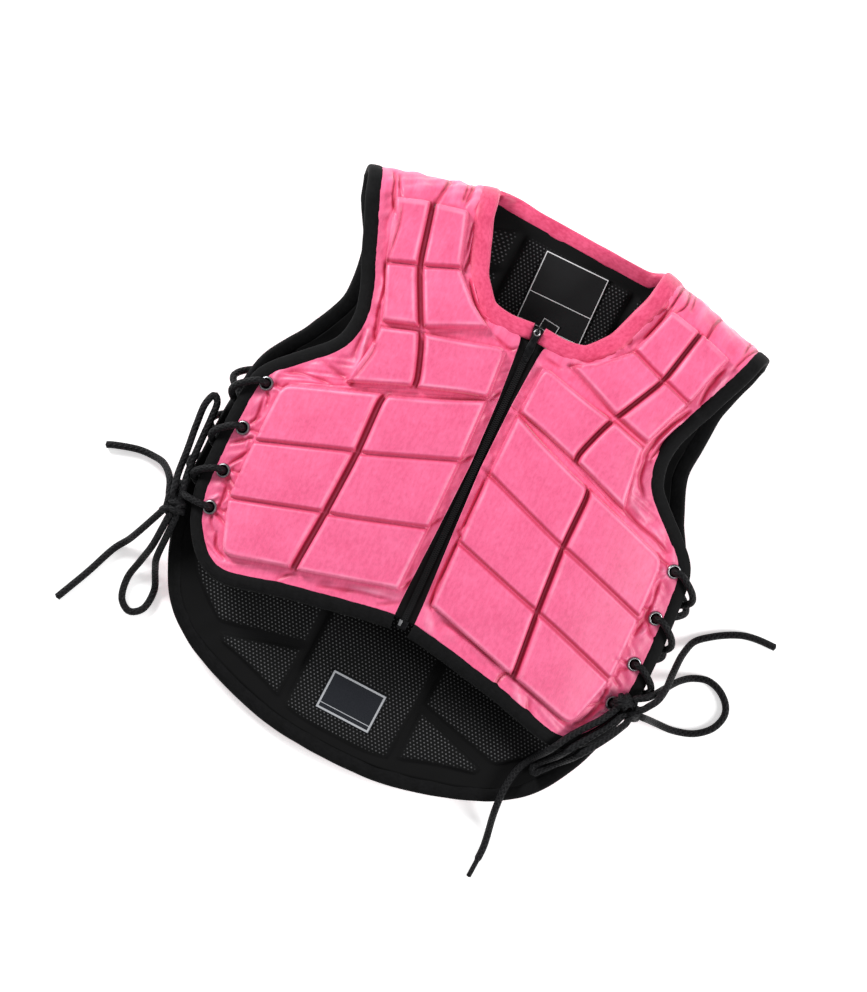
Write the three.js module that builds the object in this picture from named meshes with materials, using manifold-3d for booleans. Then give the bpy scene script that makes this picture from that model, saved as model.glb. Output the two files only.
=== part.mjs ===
// A child rider's padded body protector, lying on its back with its front zip closed and its
// side laces tied in bows.
//
// The frame is in millimetres: +X to the right as the vest is looked down on, +Y towards the
// neck, +Z up from the surface it lies on. Each half of the front and the whole back is a flat
// pattern of foam tiles. The pattern is worked out first, in plain x and y, and then laid over
// the vest's swollen shape, with n the height above the join of panel and lining.
import * as THREE from "three";
import Module from "manifold-3d";
import { mergeVertices } from "three/addons/utils/BufferGeometryUtils.js";

const wasm = await Module();
wasm.setup();

// Overall sizes
const frontHalfWidth = 176; // zip to the laced edge of the front panel
const frontLength = 320; // shoulder line to the bottom of the zip
const backWider = 2; // how much wider the back panel is on each side
const backHalfWidth = frontHalfWidth + backWider; // middle to its laced edge
const backLength = 435; // shoulder line to the tip of the tail panel
const shoulderLine = 203; // the shoulder line's y
const neckHalfWidth = 70; // middle to the inner end of the shoulder line
const shoulderSlope = 0.27; // fall of the shoulder line to each side

// Cloth and padding
const shell = 3; // cloth and backing between the tiles
const foam = 8; // how far a tile stands above its channels
const bevel = 4.5; // run of a tile's rounded border
const channelWide = 4.6; // the long channels
const seamWide = 2.6; // the seams between rows of tiles
const liningThick = 2.4;
const gap = 0.3; // what touching pieces keep between them
const edgeGap = 1; // between a cloth edge and the edging that wraps it
const bindingWide = 10;
const sideBindingWide = 8; // along the laced edge
const facingWide = 12;
const edgingThick = 0.6; // how far an edging stands proud of the cloth it wraps

// How it lies
const chestHeight = 66; // front cloth above the table at the zip
const sideHeight = 46; // front cloth above the table at the laced edge
const hemDrop = 5; // how much lower the hem is than the chest
const foldRadius = 29; // the shoulders, where front turns over into back
const foldCrest = 3; // how far the fold stands past the shoulder line
const seamTurn = 2.18; // angle round the fold to the shoulder seam
const seamOpening = 0.9; // space left for the shoulder seam's stitching
const backCurl = 12; // how far the laced edges of the back curl up
const backFlat = 0.66; // share of the back's half width that lies flat
const backTurn = 0.05; // the back lies turned under the front
const backShift = -1.25;
const strapLean = 4; // the left shoulder lies higher than the right
const hemLean = 4.5; // the left hem lies higher than the right

// Zip
const chainWide = 5;
const chainThick = 2.8;
const tapeReach = 12; // middle to the edge of the tape, under the panel
const tapeThick = 1.2;
const zipTopShare = 0.242; // the zip's top, down from the shoulder line
const sliderLong = 11;
const sliderWide = 7.4;
const sliderThick = 2.6;
const pullLong = 27;
const pullWide = 6.4;
const pullThick = 1.2;
const pinRadius = 0.8;
const bridgeWide = 2.2;
const boxWide = 7.6; // the box that the zip ends in
const boxLong = 7;
const boxThick = 3.4;

// Laces and eyelets
const laceDiameter = 5.5;
const laceSides = 8;
const eyeletRadius = 5.6;
const eyeletHole = 3.7;
const eyeletThick = 1.2;
const eyeletSides = 8;
const eyeletBackInset = 9.4; // a back eyelet's middle inside the back panel's laced edge
// Eyelets, from the top: shares out from the zip and down from the shoulder line on the front,
// and the share of the back's length down from the shoulder line on the back
const eyelets = [
  { out: 0.950, down: 0.631, backDown: 0.4642 },
  { out: 0.962, down: 0.748, backDown: 0.5502 },
  { out: 0.962, down: 0.862, backDown: 0.6341 },
  { out: 0.948, down: 0.960, backDown: 0.7062 },
];

// Labels
const neckLabel = { wide: 54, tall: 57, across: 0.003, down: 0.113 };
const tailLabel = { wide: 45.5, tall: 32, across: 0.001, down: 0.904 };
const labelThick = 0.8;

const pink = new THREE.MeshStandardMaterial({ color: 0xf0668f, roughness: 0.55, metalness: 0 });
const rose = new THREE.MeshStandardMaterial({ color: 0xd94a73, roughness: 0.6, metalness: 0 });
const mesh = new THREE.MeshStandardMaterial({ color: 0x17171a, roughness: 0.85, metalness: 0 });
const tape = new THREE.MeshStandardMaterial({ color: 0x0e0e10, roughness: 0.7, metalness: 0 });
const cord = new THREE.MeshStandardMaterial({ color: 0x121214, roughness: 0.8, metalness: 0 });
const gunmetal = new THREE.MeshStandardMaterial({ color: 0x5a5c60, roughness: 0.3, metalness: 1 });
const patch = new THREE.MeshStandardMaterial({ color: 0x22242a, roughness: 0.6, metalness: 0 });

const clamp = (value) => Math.min(1, Math.max(0, value));
const mix = (from, to, share) => from + (to - from) * share;
const ease = (from, to, value) => {
  const share = clamp((value - from) / (to - from));
  return share * share * (3 - 2 * share);
};

// The y at a share of a length down from the shoulder line
const downFront = (share) => shoulderLine - share * frontLength;
const downBack = (share) => shoulderLine - share * backLength;

// Where the shoulder fold's centre line runs
const foldCentre = (x) =>
  shoulderLine + foldCrest - shoulderSlope * (Math.abs(x) - neckHalfWidth) - foldRadius;
const frontFoldRadius = foldRadius - shell;
const backThick = shell + foam;

// The front cloth's inner face, over the chest and then round the shoulder fold
function frontFace(x, y) {
  const centre = foldCentre(x);
  const top = foldRadius + frontFoldRadius;
  if (y > centre) {
    const turn = (y - centre) / frontFoldRadius;
    const reach = frontFoldRadius * Math.sin(turn);
    return new THREE.Vector3(x, centre + reach, foldRadius + frontFoldRadius * Math.cos(turn));
  }
  const across = (Math.abs(x) / frontHalfWidth) ** 2.4;
  const swell = sideHeight + (chestHeight - sideHeight) * (1 - across);
  const body = swell - hemDrop * ease(downFront(0.634), downFront(1.072), y);
  return new THREE.Vector3(x, y, mix(body, top, ease(centre - 90, centre, y)));
}

// The back cloth's inner face, flat on the table, curled at its sides and up at the shoulders
function backFace(patternX, patternY) {
  const side = Math.abs(patternX) / backHalfWidth;
  const curl = Math.max(0, (side - backFlat) / (1 - backFlat)) ** 1.6;
  const chest = 1 - ease(downBack(0.3287), downBack(0.1218), patternY);
  const tail = 1 - 0.5 * ease(downBack(0.7655), downBack(0.9954), patternY);
  const [x, y] = backPlane(patternX, patternY);
  const flat = new THREE.Vector3(x, y, backThick + backCurl * curl * chest * tail);
  const centre = foldCentre(x);
  const strap = ease(50, 75, Math.abs(x));
  if (y <= centre || strap === 0) {
    return flat;
  }
  const seamFromBelow = Math.PI - seamTurn;
  const start = foldRadius - backThick;
  const turn = (y - centre) / ((start + frontFoldRadius) / 2);
  const radius = mix(start, frontFoldRadius, ease(0, seamFromBelow, turn));
  const lifted = new THREE.Vector3(
    x, centre + radius * Math.sin(turn), foldRadius - radius * Math.cos(turn));
  return flat.lerp(lifted, strap);
}
const backSeamLength = (Math.PI - seamTurn) * (foldRadius - backThick + frontFoldRadius) / 2;

// A point of the front pattern: side is -1 for the left half and 1 for the right
function frontPlane(side, x, y) {
  const low = ease(downFront(0.759), downFront(1.041), y);
  const lean = hemLean * low * side * x / frontHalfWidth;
  return [side * x, y - lean];
}

// A point of the back pattern, turned under the front but held in line at the shoulder straps
function backPlane(x, y) {
  const held = ease(downBack(0.26), downBack(0.0989), y) * ease(50, 75, Math.abs(x));
  const turn = backTurn * (1 - held);
  const shift = backShift * (1 - held);
  return [shift + x * Math.cos(turn) + y * Math.sin(turn), y * Math.cos(turn) - x * Math.sin(turn)];
}

// Stands a pattern point n off a face, along the face's own normal
function stand(face, x, y, n, facing) {
  const step = 0.5;
  const alongX = face(x + step, y).sub(face(x - step, y));
  const alongY = face(x, y + step).sub(face(x, y - step));
  const point = face(x, y).addScaledVector(alongX.cross(alongY).normalize(), facing * n);
  const strap = ease(downFront(0.3844), downFront(0.0719), point.y);
  point.y -= strapLean * strap * point.x / frontHalfWidth;
  return point;
}
const onFront = (side) => (x, y, n) => stand(frontFace, ...frontPlane(side, x, y), n, 1);
const onBack = (x, y, n) => stand(backFace, x, y, n, -1);

// A geometry from corners and triangles, turned so that its faces point out
function solidOf(corners, triangles) {
  const geometry = new THREE.BufferGeometry();
  geometry.setAttribute("position", new THREE.Float32BufferAttribute(corners, 3));
  geometry.setIndex(triangles);
  return facingOut(geometry);
}

function facingOut(geometry) {
  const place = geometry.getAttribute("position");
  const index = geometry.getIndex().array;
  const [a, b, c] = [new THREE.Vector3(), new THREE.Vector3(), new THREE.Vector3()];
  let volume = 0;
  for (let k = 0; k < index.length; k += 3) {
    a.fromBufferAttribute(place, index[k]);
    b.fromBufferAttribute(place, index[k + 1]);
    c.fromBufferAttribute(place, index[k + 2]);
    volume += a.dot(b.cross(c));
  }
  if (volume < 0) {
    for (let k = 0; k < index.length; k += 3) {
      [index[k], index[k + 1]] = [index[k + 1], index[k]];
    }
  }
  return geometry;
}

function merged(geometry) {
  geometry.deleteAttribute("normal");
  geometry.deleteAttribute("uv");
  return facingOut(mergeVertices(geometry, 1e-3));
}

function toManifold(geometry) {
  const vertProperties = Float32Array.from(geometry.getAttribute("position").array);
  const triVerts = Uint32Array.from(geometry.getIndex().array);
  return new wasm.Manifold(new wasm.Mesh({ numProp: 3, vertProperties, triVerts }));
}

function fromManifold(body) {
  const { vertProperties, triVerts } = body.getMesh();
  return solidOf(Array.from(vertProperties), Array.from(triVerts));
}

// A sheet of cloth from a grid of pattern points. The outer face takes every row and column and
// its own heights, the inner face only the rows and columns that it is told to keep.
function clothSheet(place, grid, heights, innerHeight, keepRows, keepColumns) {
  const corners = [];
  const triangles = [];
  const add = (x, y, n) => corners.push(...place(x, y, n)) / 3 - 1;
  const outer = grid.map((row, j) => row.map(([x, y], i) => add(x, y, heights[j][i])));
  const inner = keepRows.map((j) => keepColumns.map((i) => add(...grid[j][i], innerHeight)));
  const quads = (net, flip) => {
    for (let j = 0; j + 1 < net.length; j += 1) {
      for (let i = 0; i + 1 < net[0].length; i += 1) {
        const [a, b, c, d] = [net[j][i], net[j][i + 1], net[j + 1][i + 1], net[j + 1][i]];
        triangles.push(...(flip ? [a, c, b, a, d, c] : [a, b, c, a, c, d]));
      }
    }
  };
  quads(outer, false);
  quads(inner, true);
  // each side wall fans the outer face's border on to the inner face's coarser one
  const wall = (fine, coarse, kept, flip) => {
    for (let k = 0; k + 1 < kept.length; k += 1) {
      const tri = (a, b, c) => triangles.push(...(flip ? [a, c, b] : [a, b, c]));
      for (let m = kept[k]; m < kept[k + 1]; m += 1) {
        tri(coarse[k], fine[m + 1], fine[m]);
      }
      tri(coarse[k], coarse[k + 1], fine[kept[k + 1]]);
    }
  };
  const lastRow = grid.length - 1;
  const lastColumn = grid[0].length - 1;
  wall(outer[0], inner[0], keepColumns, false);
  wall(outer[lastRow], inner[inner.length - 1], keepColumns, true);
  wall(outer.map((row) => row[0]), inner.map((row) => row[0]), keepRows, true);
  wall(outer.map((row) => row[lastColumn]), inner.map((row) => row[row.length - 1]), keepRows, false);
  return solidOf(corners, triangles);
}

// An edging strip beside a path of pattern points: its section is a flat inner side and a
// rounded outer one, and it lies off to the left of the path
function edgingSections(path, wide) {
  return path.map(([x, y], k) => {
    const before = path[Math.max(0, k - 1)];
    const after = path[Math.min(path.length - 1, k + 1)];
    const unit = (from, to) => new THREE.Vector2(from[1] - to[1], to[0] - from[0]).normalize();
    const [first, second] = [unit(k ? before : [x, y], k ? [x, y] : after),
      unit(k + 1 < path.length ? [x, y] : before, k + 1 < path.length ? after : [x, y])];
    const away = first.clone().add(second).normalize();
    away.divideScalar(Math.max(0.6, away.dot(first))); // so that a corner keeps the strip's width
    return { x, y, away, wide: typeof wide === "function" ? wide(k) : wide };
  });
}

function edgingStrip(place, sections, low, high) {
  const corners = [];
  const triangles = [];
  const round = (high - low) * 0.3;
  for (const { x, y, away, wide } of sections) {
    const profile = [
      [edgeGap, low], [edgeGap + wide - round, low], [edgeGap + wide, (low + high) / 2],
      [edgeGap + wide - round, high], [edgeGap, high]];
    for (const [out, n] of profile) {
      corners.push(...place(x + away.x * out, y + away.y * out, n));
    }
  }
  const sides = 5;
  for (let k = 0; k + 1 < sections.length; k += 1) {
    for (let s = 0; s < sides; s += 1) {
      const [a, b] = [k * sides + s, k * sides + (s + 1) % sides];
      triangles.push(a, b, b + sides, a, b + sides, a + sides);
    }
  }
  for (let s = 1; s + 1 < sides; s += 1) {
    const end = (sections.length - 1) * sides;
    triangles.push(0, s + 1, s, end, end + s, end + s + 1);
  }
  return solidOf(corners, triangles);
}

// Draws in one end of a run of sections, so that two strips meet with a gap
function drawnIn(sections, first, by) {
  const [end, next] = first ? sections.slice(0, 2) : sections.slice(-2).reverse();
  const share = by / Math.hypot(next.x - end.x, next.y - end.y);
  const moved = {
    x: mix(end.x, next.x, share), y: mix(end.y, next.y, share),
    away: end.away.clone().lerp(next.away, share), wide: end.wide };
  return first ? [moved, ...sections.slice(1)] : [...sections.slice(0, -1), moved];
}

// The front pattern: one row for each seam, with where the row crosses the panel's inner edge,
// its tiles' inner border, the long channel, the tiles' outer border and the panel's outer
// edge. Each pair is a share of the half width, out from the zip, and a share of the front's
// length, down from the shoulder line.
const frontRows = {
  //            inner edge     tiles start    long channel   tiles end      outer edge
  hem: [[0.047, 0.997], [0.080, 0.999], [0.517, 1.045], [0.813, 1.077], [0.892, 1.053]],
  first: [[0.046, 0.944], [0.074, 0.938], [0.517, 1.006], [0.818, 1.053], [0.955, 1.012]],
  second: [[0.033, 0.775], [0.069, 0.777], [0.492, 0.848], [0.892, 0.917], [1.000, 0.928]],
  third: [[0.022, 0.600], [0.066, 0.605], [0.475, 0.688], [0.892, 0.764], [1.000, 0.778]],
  chestBelow: [[0.030, 0.445], [0.071, 0.451], [0.480, 0.533], [0.881, 0.608], [0.983, 0.622]],
  chestAbove: [[0.030, 0.438], [0.074, 0.445], [0.361, 0.500], [0.637, 0.558], [0.910, 0.581]],
  arm: [[0.039, 0.369], [0.080, 0.378], [0.401, 0.431], [0.620, 0.481], [0.708, 0.481]],
  neckBelow: [[0.046, 0.313], [0.088, 0.317], [0.441, 0.370], [0.600, 0.398], [0.675, 0.406]],
  neckCorner: [[0.055, 0.279], [0.148, 0.306], [0.449, 0.366], [0.606, 0.393], [0.676, 0.397]],
  neckAbove: [[0.136, 0.283], [0.188, 0.301], [0.455, 0.362], [0.611, 0.388], [0.677, 0.388]],
  collar: [[0.250, 0.275], [0.290, 0.261], [0.511, 0.300], [0.651, 0.328], [0.702, 0.331]],
  strap: [[0.355, 0.206], [0.401, 0.205], [0.568, 0.239], [0.708, 0.263], [0.751, 0.266]],
  shoulder: [[0.440, 0.075], [0.478, 0.075], [0.631, 0.094], [0.787, 0.120], [0.853, 0.131]],
};
const frontFold = [0.468, 0.491, 0.648, 0.834, 0.903]; // shares out, where the fold turns over
const hemBow = 0.014; // the hem's curve between those points, as a share of the front's length
const bowShare = [0, 0.14, 0.24, 1, 0.12, 0, 0, -0.17, -1, -0.3, -0.1, 0]; // of the bow, at each column

// Rows of tiles: the seams below and above, and any row between them
const frontTiles = [
  ["first", "second"], ["second", "third"], ["third", "chestBelow"],
  ["chestAbove", "arm", "neckBelow"], ["neckAbove", "collar", "strap"], ["strap", "shoulder"]];
const pairedSeams = ["second", "third", "strap"]; // seams with tiles on both sides

const frontPoint = ([out, down]) => [out * frontHalfWidth, shoulderLine - down * frontLength];
const between = (a, b, share) => a.map((value, k) => mix(value, b[k], share));
const toward = (a, b, distance) => between(a, b, distance / Math.hypot(b[0] - a[0], b[1] - a[1]));
const rowBetween = (low, high, share) => low.map((point, k) => between(point, high[k], share));
const longest = (low, high) => Math.max(...low.map(([x, y], k) => Math.hypot(high[k][0] - x, high[k][1] - y)));
const rowSpan = (low, high) => longest(low.slice(1, 3), high.slice(1, 3));

// The lines of one row of tiles: its border and its bevel at both ends, and any row between
function tileLines(rows, lowSeam, highSeam) {
  const [low, high] = [rows[0], rows[rows.length - 1]];
  const lowSpan = rowSpan(low, rows[1]);
  const highSpan = rowSpan(rows[rows.length - 2], high);
  const at = (distance) => rowBetween(low, rows[1], distance / lowSpan);
  const back = (distance) => rowBetween(high, rows[rows.length - 2], distance / highSpan);
  return [
    { row: at(lowSeam), raised: false, kept: true },
    { row: at(lowSeam + bevel), raised: true },
    ...rows.slice(1, -1).map((row) => ({ row, raised: true, kept: true })),
    { row: back(highSeam + bevel), raised: true },
    { row: back(highSeam), raised: false, kept: highSeam === 0, turns: true }];
}

function frontGrid() {
  const rows = Object.fromEntries(
    Object.entries(frontRows).map(([name, row]) => [name, row.map(frontPoint)]));
  const lines = [{ row: rows.hem, raised: false, kept: true, bow: hemBow * frontLength }];
  for (const names of frontTiles) {
    const half = (name) => (pairedSeams.includes(name) ? seamWide / 2 : 0);
    if (names[0] === "neckAbove") {
      lines.push({ row: rows.neckCorner, raised: false, kept: true });
    }
    lines.push(...tileLines(names.map((name) => rows[name]), half(names[0]), half(names.at(-1))));
  }
  // round the fold to the shoulder seam
  const lastTurn = seamTurn - seamOpening / 2 / frontFoldRadius;
  for (const turn of [0.62, 1.05, Math.PI / 2, lastTurn]) {
    const row = rows.shoulder.map(([x], k) => {
      const out = mix(x, frontFold[k] * frontHalfWidth, turn / (Math.PI / 2));
      return [out, foldCentre(out) + frontFoldRadius * turn];
    });
    lines.push({ row, raised: false, kept: true });
  }
  const half = channelWide / 2;
  const grid = lines.map(({ row, bow = 0 }) => {
    const [edgeIn, tileIn, channel, tileOut, edgeOut] = row;
    const [before, after] = [[channel[0] - half, channel[1]], [channel[0] + half, channel[1]]];
    const columns = [
      edgeIn, tileIn, toward(tileIn, before, bevel), between(tileIn, before, 0.5),
      toward(before, tileIn, bevel), before, after, toward(after, tileOut, bevel),
      between(after, tileOut, 0.5), toward(tileOut, after, bevel), tileOut, edgeOut];
    return columns.map(([x, y], i) => [x, y + bow * bowShare[i]]);
  });
  const raisedColumns = [2, 3, 4, 7, 8, 9];
  const heights = lines.map(({ raised }) => grid[0].map(
    (point, i) => (raised && raisedColumns.includes(i) ? shell + foam : shell)));
  const keepRows = lines.map(({ kept }, j) => (kept ? j : -1)).filter((j) => j >= 0);
  const edgeRows = lines.map(({ kept, turns }, j) => (kept || turns ? j : -1)).filter((j) => j >= 0);
  return { grid, heights, keepRows, edgeRows, keepColumns: [0, 3, 5, 6, 8, 10, 11] };
}

// The back pattern in the same way, from the middle out: the middle column's edge, the side
// tiles' start and end, and the panel's edge. Its middle column has no cross seams.
const backRows = {
  //            middle column  tiles start    tiles end      outer edge
  rim: [[0.254, 0.985], [0.281, 0.983], [0.601, 0.947], [0.725, 0.921]],
  low: [[0.254, 0.971], [0.281, 0.954], [0.601, 0.915], [0.785, 0.904]],
  tailBelow: [[0.254, 0.855], [0.281, 0.861], [0.612, 0.900], [0.825, 0.890]],
  tailAbove: [[0.254, 0.848], [0.281, 0.851], [0.663, 0.889], [0.860, 0.872]],
  hips: [[0.254, 0.788], [0.281, 0.789], [0.854, 0.830], [0.933, 0.816]],
  first: [[0.254, 0.724], [0.281, 0.724], [0.893, 0.789], [0.975, 0.761]],
  second: [[0.254, 0.607], [0.281, 0.609], [0.905, 0.684], [1.000, 0.672]],
  third: [[0.254, 0.485], [0.281, 0.487], [0.905, 0.562], [1.000, 0.555]],
  chest: [[0.254, 0.363], [0.281, 0.364], [0.894, 0.444], [0.974, 0.451]],
  arm: [[0.254, 0.301], [0.281, 0.301], [0.756, 0.371], [0.842, 0.371]],
  blade: [[0.254, 0.241], [0.281, 0.242], [0.676, 0.292], [0.756, 0.290]],
  strap: [[0.254, 0.120], [0.281, 0.120], [0.711, 0.172], [0.785, 0.167]],
  shoulder: [[0.254, 0.044], [0.281, 0.044], [0.779, 0.113], [0.854, 0.111]],
};
const backTiles = [
  ["low", "tailBelow"], ["tailAbove", "hips", "first"], ["first", "second"], ["second", "third"],
  ["third", "chest"], ["chest", "arm", "blade"], ["blade", "strap"], ["strap", "shoulder"]];
const backPaired = ["first", "second", "third", "chest", "blade", "strap"];
const rimMiddle = [0, 0.99]; // the tail's tip
const lowMiddle = [0, 0.974];
const sideColumns = [0.62]; // across each side tile
const neckEdge = 0.026; // back neck edge, down from the shoulder line
const seamOut = [0.400, 0.590, 0.803, 0.888]; // shares out of the shoulder seam's points

const backPoint = ([out, down]) => [out * backHalfWidth, shoulderLine - down * backLength];

function backGrid() {
  const rows = Object.fromEntries(
    Object.entries(backRows).map(([name, row]) => [name, row.map(backPoint)]));
  const lines = [{ row: rows.rim, raised: false, middle: backPoint(rimMiddle), kept: true }];
  for (const names of backTiles) {
    const half = (name) => (backPaired.includes(name) ? seamWide / 2 : 0);
    const added = tileLines(names.map((name) => rows[name]), half(names[0]), half(names.at(-1)));
    lines.push(...added.map((line) => ({ ...line, middleRaised: true })));
  }
  lines[1].middle = backPoint(lowMiddle);
  lines[1].middleRaised = false;
  lines.at(-1).middleRaised = false;
  const mirrored = (points) => points.map(([x, y]) => [-x, y]).reverse();
  const grid = lines.map(({ row, middle }) => {
    const [column, tileIn, tileOut, edge] = row;
    const inner = toward(tileIn, tileOut, bevel);
    const outer = toward(tileOut, tileIn, bevel);
    const half = [
      [column[0] - bevel, column[1]], column, tileIn, inner,
      ...sideColumns.map((share) => between(tileIn, tileOut, share)), outer, tileOut, edge];
    return [...mirrored(half), [0, middle ? middle[1] : column[1]], ...half];
  });
  // the top line: neck edge in the middle, shoulder seam on the straps
  const neckY = shoulderLine - neckEdge * backLength;
  const seamPoint = (out) => {
    const x = out * backHalfWidth;
    return [x, foldCentre(x) + backSeamLength - seamOpening / 2];
  };
  const seamPoints = seamOut.map(seamPoint);
  const [column, tileIn] = rows.shoulder.map(([x]) => x);
  const top = [
    [column - bevel, neckY], [column, neckY], [tileIn, neckY], [tileIn + bevel, neckY],
    seamPoints[0], seamPoints[1], seamPoints[2], seamPoints[3]];
  const topRow = [...mirrored(top), [0, neckY], ...top];
  const halfway = grid.at(-1).map((point, i) => between(point, topRow[i], 0.5));
  grid.push(halfway, topRow);
  lines.push({ raised: false, kept: true }, { raised: false, kept: true });
  const tileColumns = [2, 3, 4, 12, 13, 14];
  const middleColumns = [7, 8, 9];
  const heights = lines.map(({ raised, middleRaised }) => grid[0].map((point, i) => {
    const up = (raised && tileColumns.includes(i)) || (middleRaised && middleColumns.includes(i));
    return up ? backThick : shell;
  }));
  const keepRows = lines.map(({ kept }, j) => (kept ? j : -1)).filter((j) => j >= 0);
  const edgeRows = lines.map(({ kept, turns }, j) => (kept || turns ? j : -1)).filter((j) => j >= 0);
  return { grid, heights, keepRows, edgeRows, keepColumns: [0, 1, 3, 4, 8, 12, 13, 15, 16] };
}

const front = frontGrid();
const back = backGrid();
const vest = new THREE.Group();
const cords = []; // the free cords, left out when the vest is centred
const piece = (name, geometry, material) => {
  const added = new THREE.Mesh(geometry, material);
  added.name = name;
  vest.add(added);
  return added;
};

// The lining's own sheet, on the panel's coarse rows and columns
const liningReach = 166; // where the cloth is wider than this, the lining stops with the tiles
function liningSheet(place, { grid, keepRows }, columns, nearest = -Infinity) {
  const shaped = keepRows.map((j) => columns.map((i) => {
    const wide = Math.abs(grid[j][i][0]) > liningReach;
    const tilesEnd = grid[j][i + Math.sign(grid[j].length / 2 - i)];
    const [x, y] = wide ? toward(tilesEnd, grid[j][i], 1.2) : grid[j][i];
    return [Math.max(nearest, x), y];
  }));
  const border = (row, i) => i === 0 || i === row.length - 1; // thinner, where it is bound
  const flat = shaped.map((row) => row.map((point, i) => (border(row, i) ? -gap - 1 : -gap - 0.1)));
  const all = (list) => list.map((item, k) => k);
  return clothSheet(place, shaped, flat, -gap - liningThick, all(shaped), all(shaped[0]));
}

const low = -gap - liningThick - edgingThick / 2;
const high = shell + edgingThick;

// Eyelets: a ring on the cloth, over a hole through panel and lining
const alongNormal = (place, x, y) => {
  const [from, to] = [place(x, y, 0), place(x, y, 1)];
  return new THREE.Quaternion().setFromUnitVectors(
    new THREE.Vector3(0, 1, 0), to.sub(from).normalize());
};

function eyeletRing(place, [x, y]) {
  const crest = (eyeletHole + eyeletRadius) / 2;
  const profile = [
    [eyeletHole, 0], [eyeletRadius, 0], [crest, eyeletThick], [eyeletHole, 0]].map(([r, h]) => new THREE.Vector2(r, h));
  const ring = merged(new THREE.LatheGeometry(profile, eyeletSides));
  ring.applyQuaternion(alongNormal(place, x, y));
  ring.translate(...place(x, y, shell + gap));
  return ring;
}

function eyeletCut(place, [x, y]) {
  const deep = 24;
  const radius = eyeletHole * 1.1;
  const hole = merged(new THREE.CylinderGeometry(radius, radius, deep, 6));
  hole.applyQuaternion(alongNormal(place, x, y));
  hole.translate(...place(x, y, 0));
  return toManifold(hole);
}

const drilled = (geometry, place, eyelets) => fromManifold(eyelets.reduce(
  (body, eyelet) => body.subtract(eyeletCut(place, eyelet)), toManifold(geometry)));

const frontEyelets = eyelets.map(({ out, down }) => frontPoint([out, down]));
const backEyelets = (side) => eyelets.map(
  ({ backDown }) => [side * (backHalfWidth - eyeletBackInset), downBack(backDown)]);

// The two front halves, each with its lining, edgings and half of the zip
const sides = [{ name: "left", side: -1 }, { name: "right", side: 1 }];
const zipTop = shoulderLine - zipTopShare * frontLength;
const zipBottom = shoulderLine - frontRows.hem[0][1] * frontLength;

for (const { name, side } of sides) {
  const place = onFront(side);
  const panel = clothSheet(
    place, front.grid, front.heights, gap / 2, front.keepRows, front.keepColumns);
  piece(`panel_front_${name}`, drilled(panel, place, frontEyelets), pink);
  const lining = liningSheet(place, front, [0, 3, 6, 8, 10], tapeReach + gap);
  piece(`lining_front_${name}`, lining, mesh);

  // black edging: along the hem, then up the laced edge and round the armhole
  const hemPath = front.grid[0].slice().reverse();
  const edgePath = front.edgeRows.map((j) => front.grid[j].at(-1)).reverse();
  const whole = [...edgePath, ...hemPath.slice(1)];
  const corner = edgePath.length - 1;
  const sections = edgingSections(whole, (k) => {
    const y = whole[k][1];
    const laced = 1 - ease(downFront(0.697), downFront(0.509), y);
    return mix(bindingWide, sideBindingWide, k < corner ? laced : 0);
  });
  const sideRun = drawnIn(sections.slice(0, corner + 1), false, gap);
  const hemRun = drawnIn(sections.slice(corner), true, gap);
  piece(`binding_side_${name}`, edgingStrip(place, sideRun, low, high), tape);
  piece(`binding_hem_${name}`, edgingStrip(place, hemRun, low, high), tape);

  // pink facing round the neck, from the top of the zip to the shoulder seam
  const neckPath = front.edgeRows.map((j) => front.grid[j][0]).filter(
    ([x, y]) => y > zipTop - 14 && x > tapeReach);
  const start = [neckPath[0][0] * 0.25, neckPath[0][1] + 2.4];
  const facingPath = [start, ...neckPath];
  piece(
    `facing_front_${name}`,
    edgingStrip(place, edgingSections(facingPath, facingWide), low, high), rose);

  // the zip's tape lies under the panel's edge
  const steps = 7;
  const tapeGrid = Array.from({ length: steps + 1 }, (item, k) => {
    const y = mix(zipBottom, zipTop - facingWide - 1, k / steps);
    return [[chainWide / 2 + gap, y], [tapeReach, y]];
  });
  const every = tapeGrid.map((row, k) => k);
  piece(
    `zip_tape_${name}`,
    clothSheet(
      place, tapeGrid, tapeGrid.map((row) => row.map(() => -gap)), -gap - tapeThick, every, [0, 1]),
    tape);
}

// The zip's chain of teeth, as one bar
const onMiddle = onFront(1);
{
  const steps = 10;
  const grid = Array.from({ length: steps + 1 }, (item, k) => {
    const y = mix(zipBottom, zipTop, k / steps);
    return [[-chainWide / 2, y], [chainWide / 2, y]];
  });
  const every = grid.map((row, k) => k);
  const heights = grid.map((row) => row.map(() => chainThick / 2));
  piece("zip_chain", clothSheet(onMiddle, grid, heights, -chainThick / 2, every, [0, 1]), tape);
}

// A block of given size on the zip, with its bottom at height n
function blockOnZip(wide, long, thick, y, n) {
  const block = merged(new THREE.BoxGeometry(wide, long, thick));
  block.applyQuaternion(new THREE.Quaternion().setFromUnitVectors(
    new THREE.Vector3(0, 0, 1), onMiddle(0, y, 1).sub(onMiddle(0, y, 0)).normalize()));
  block.translate(...onMiddle(0, y, n + thick / 2));
  return block;
}

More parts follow.
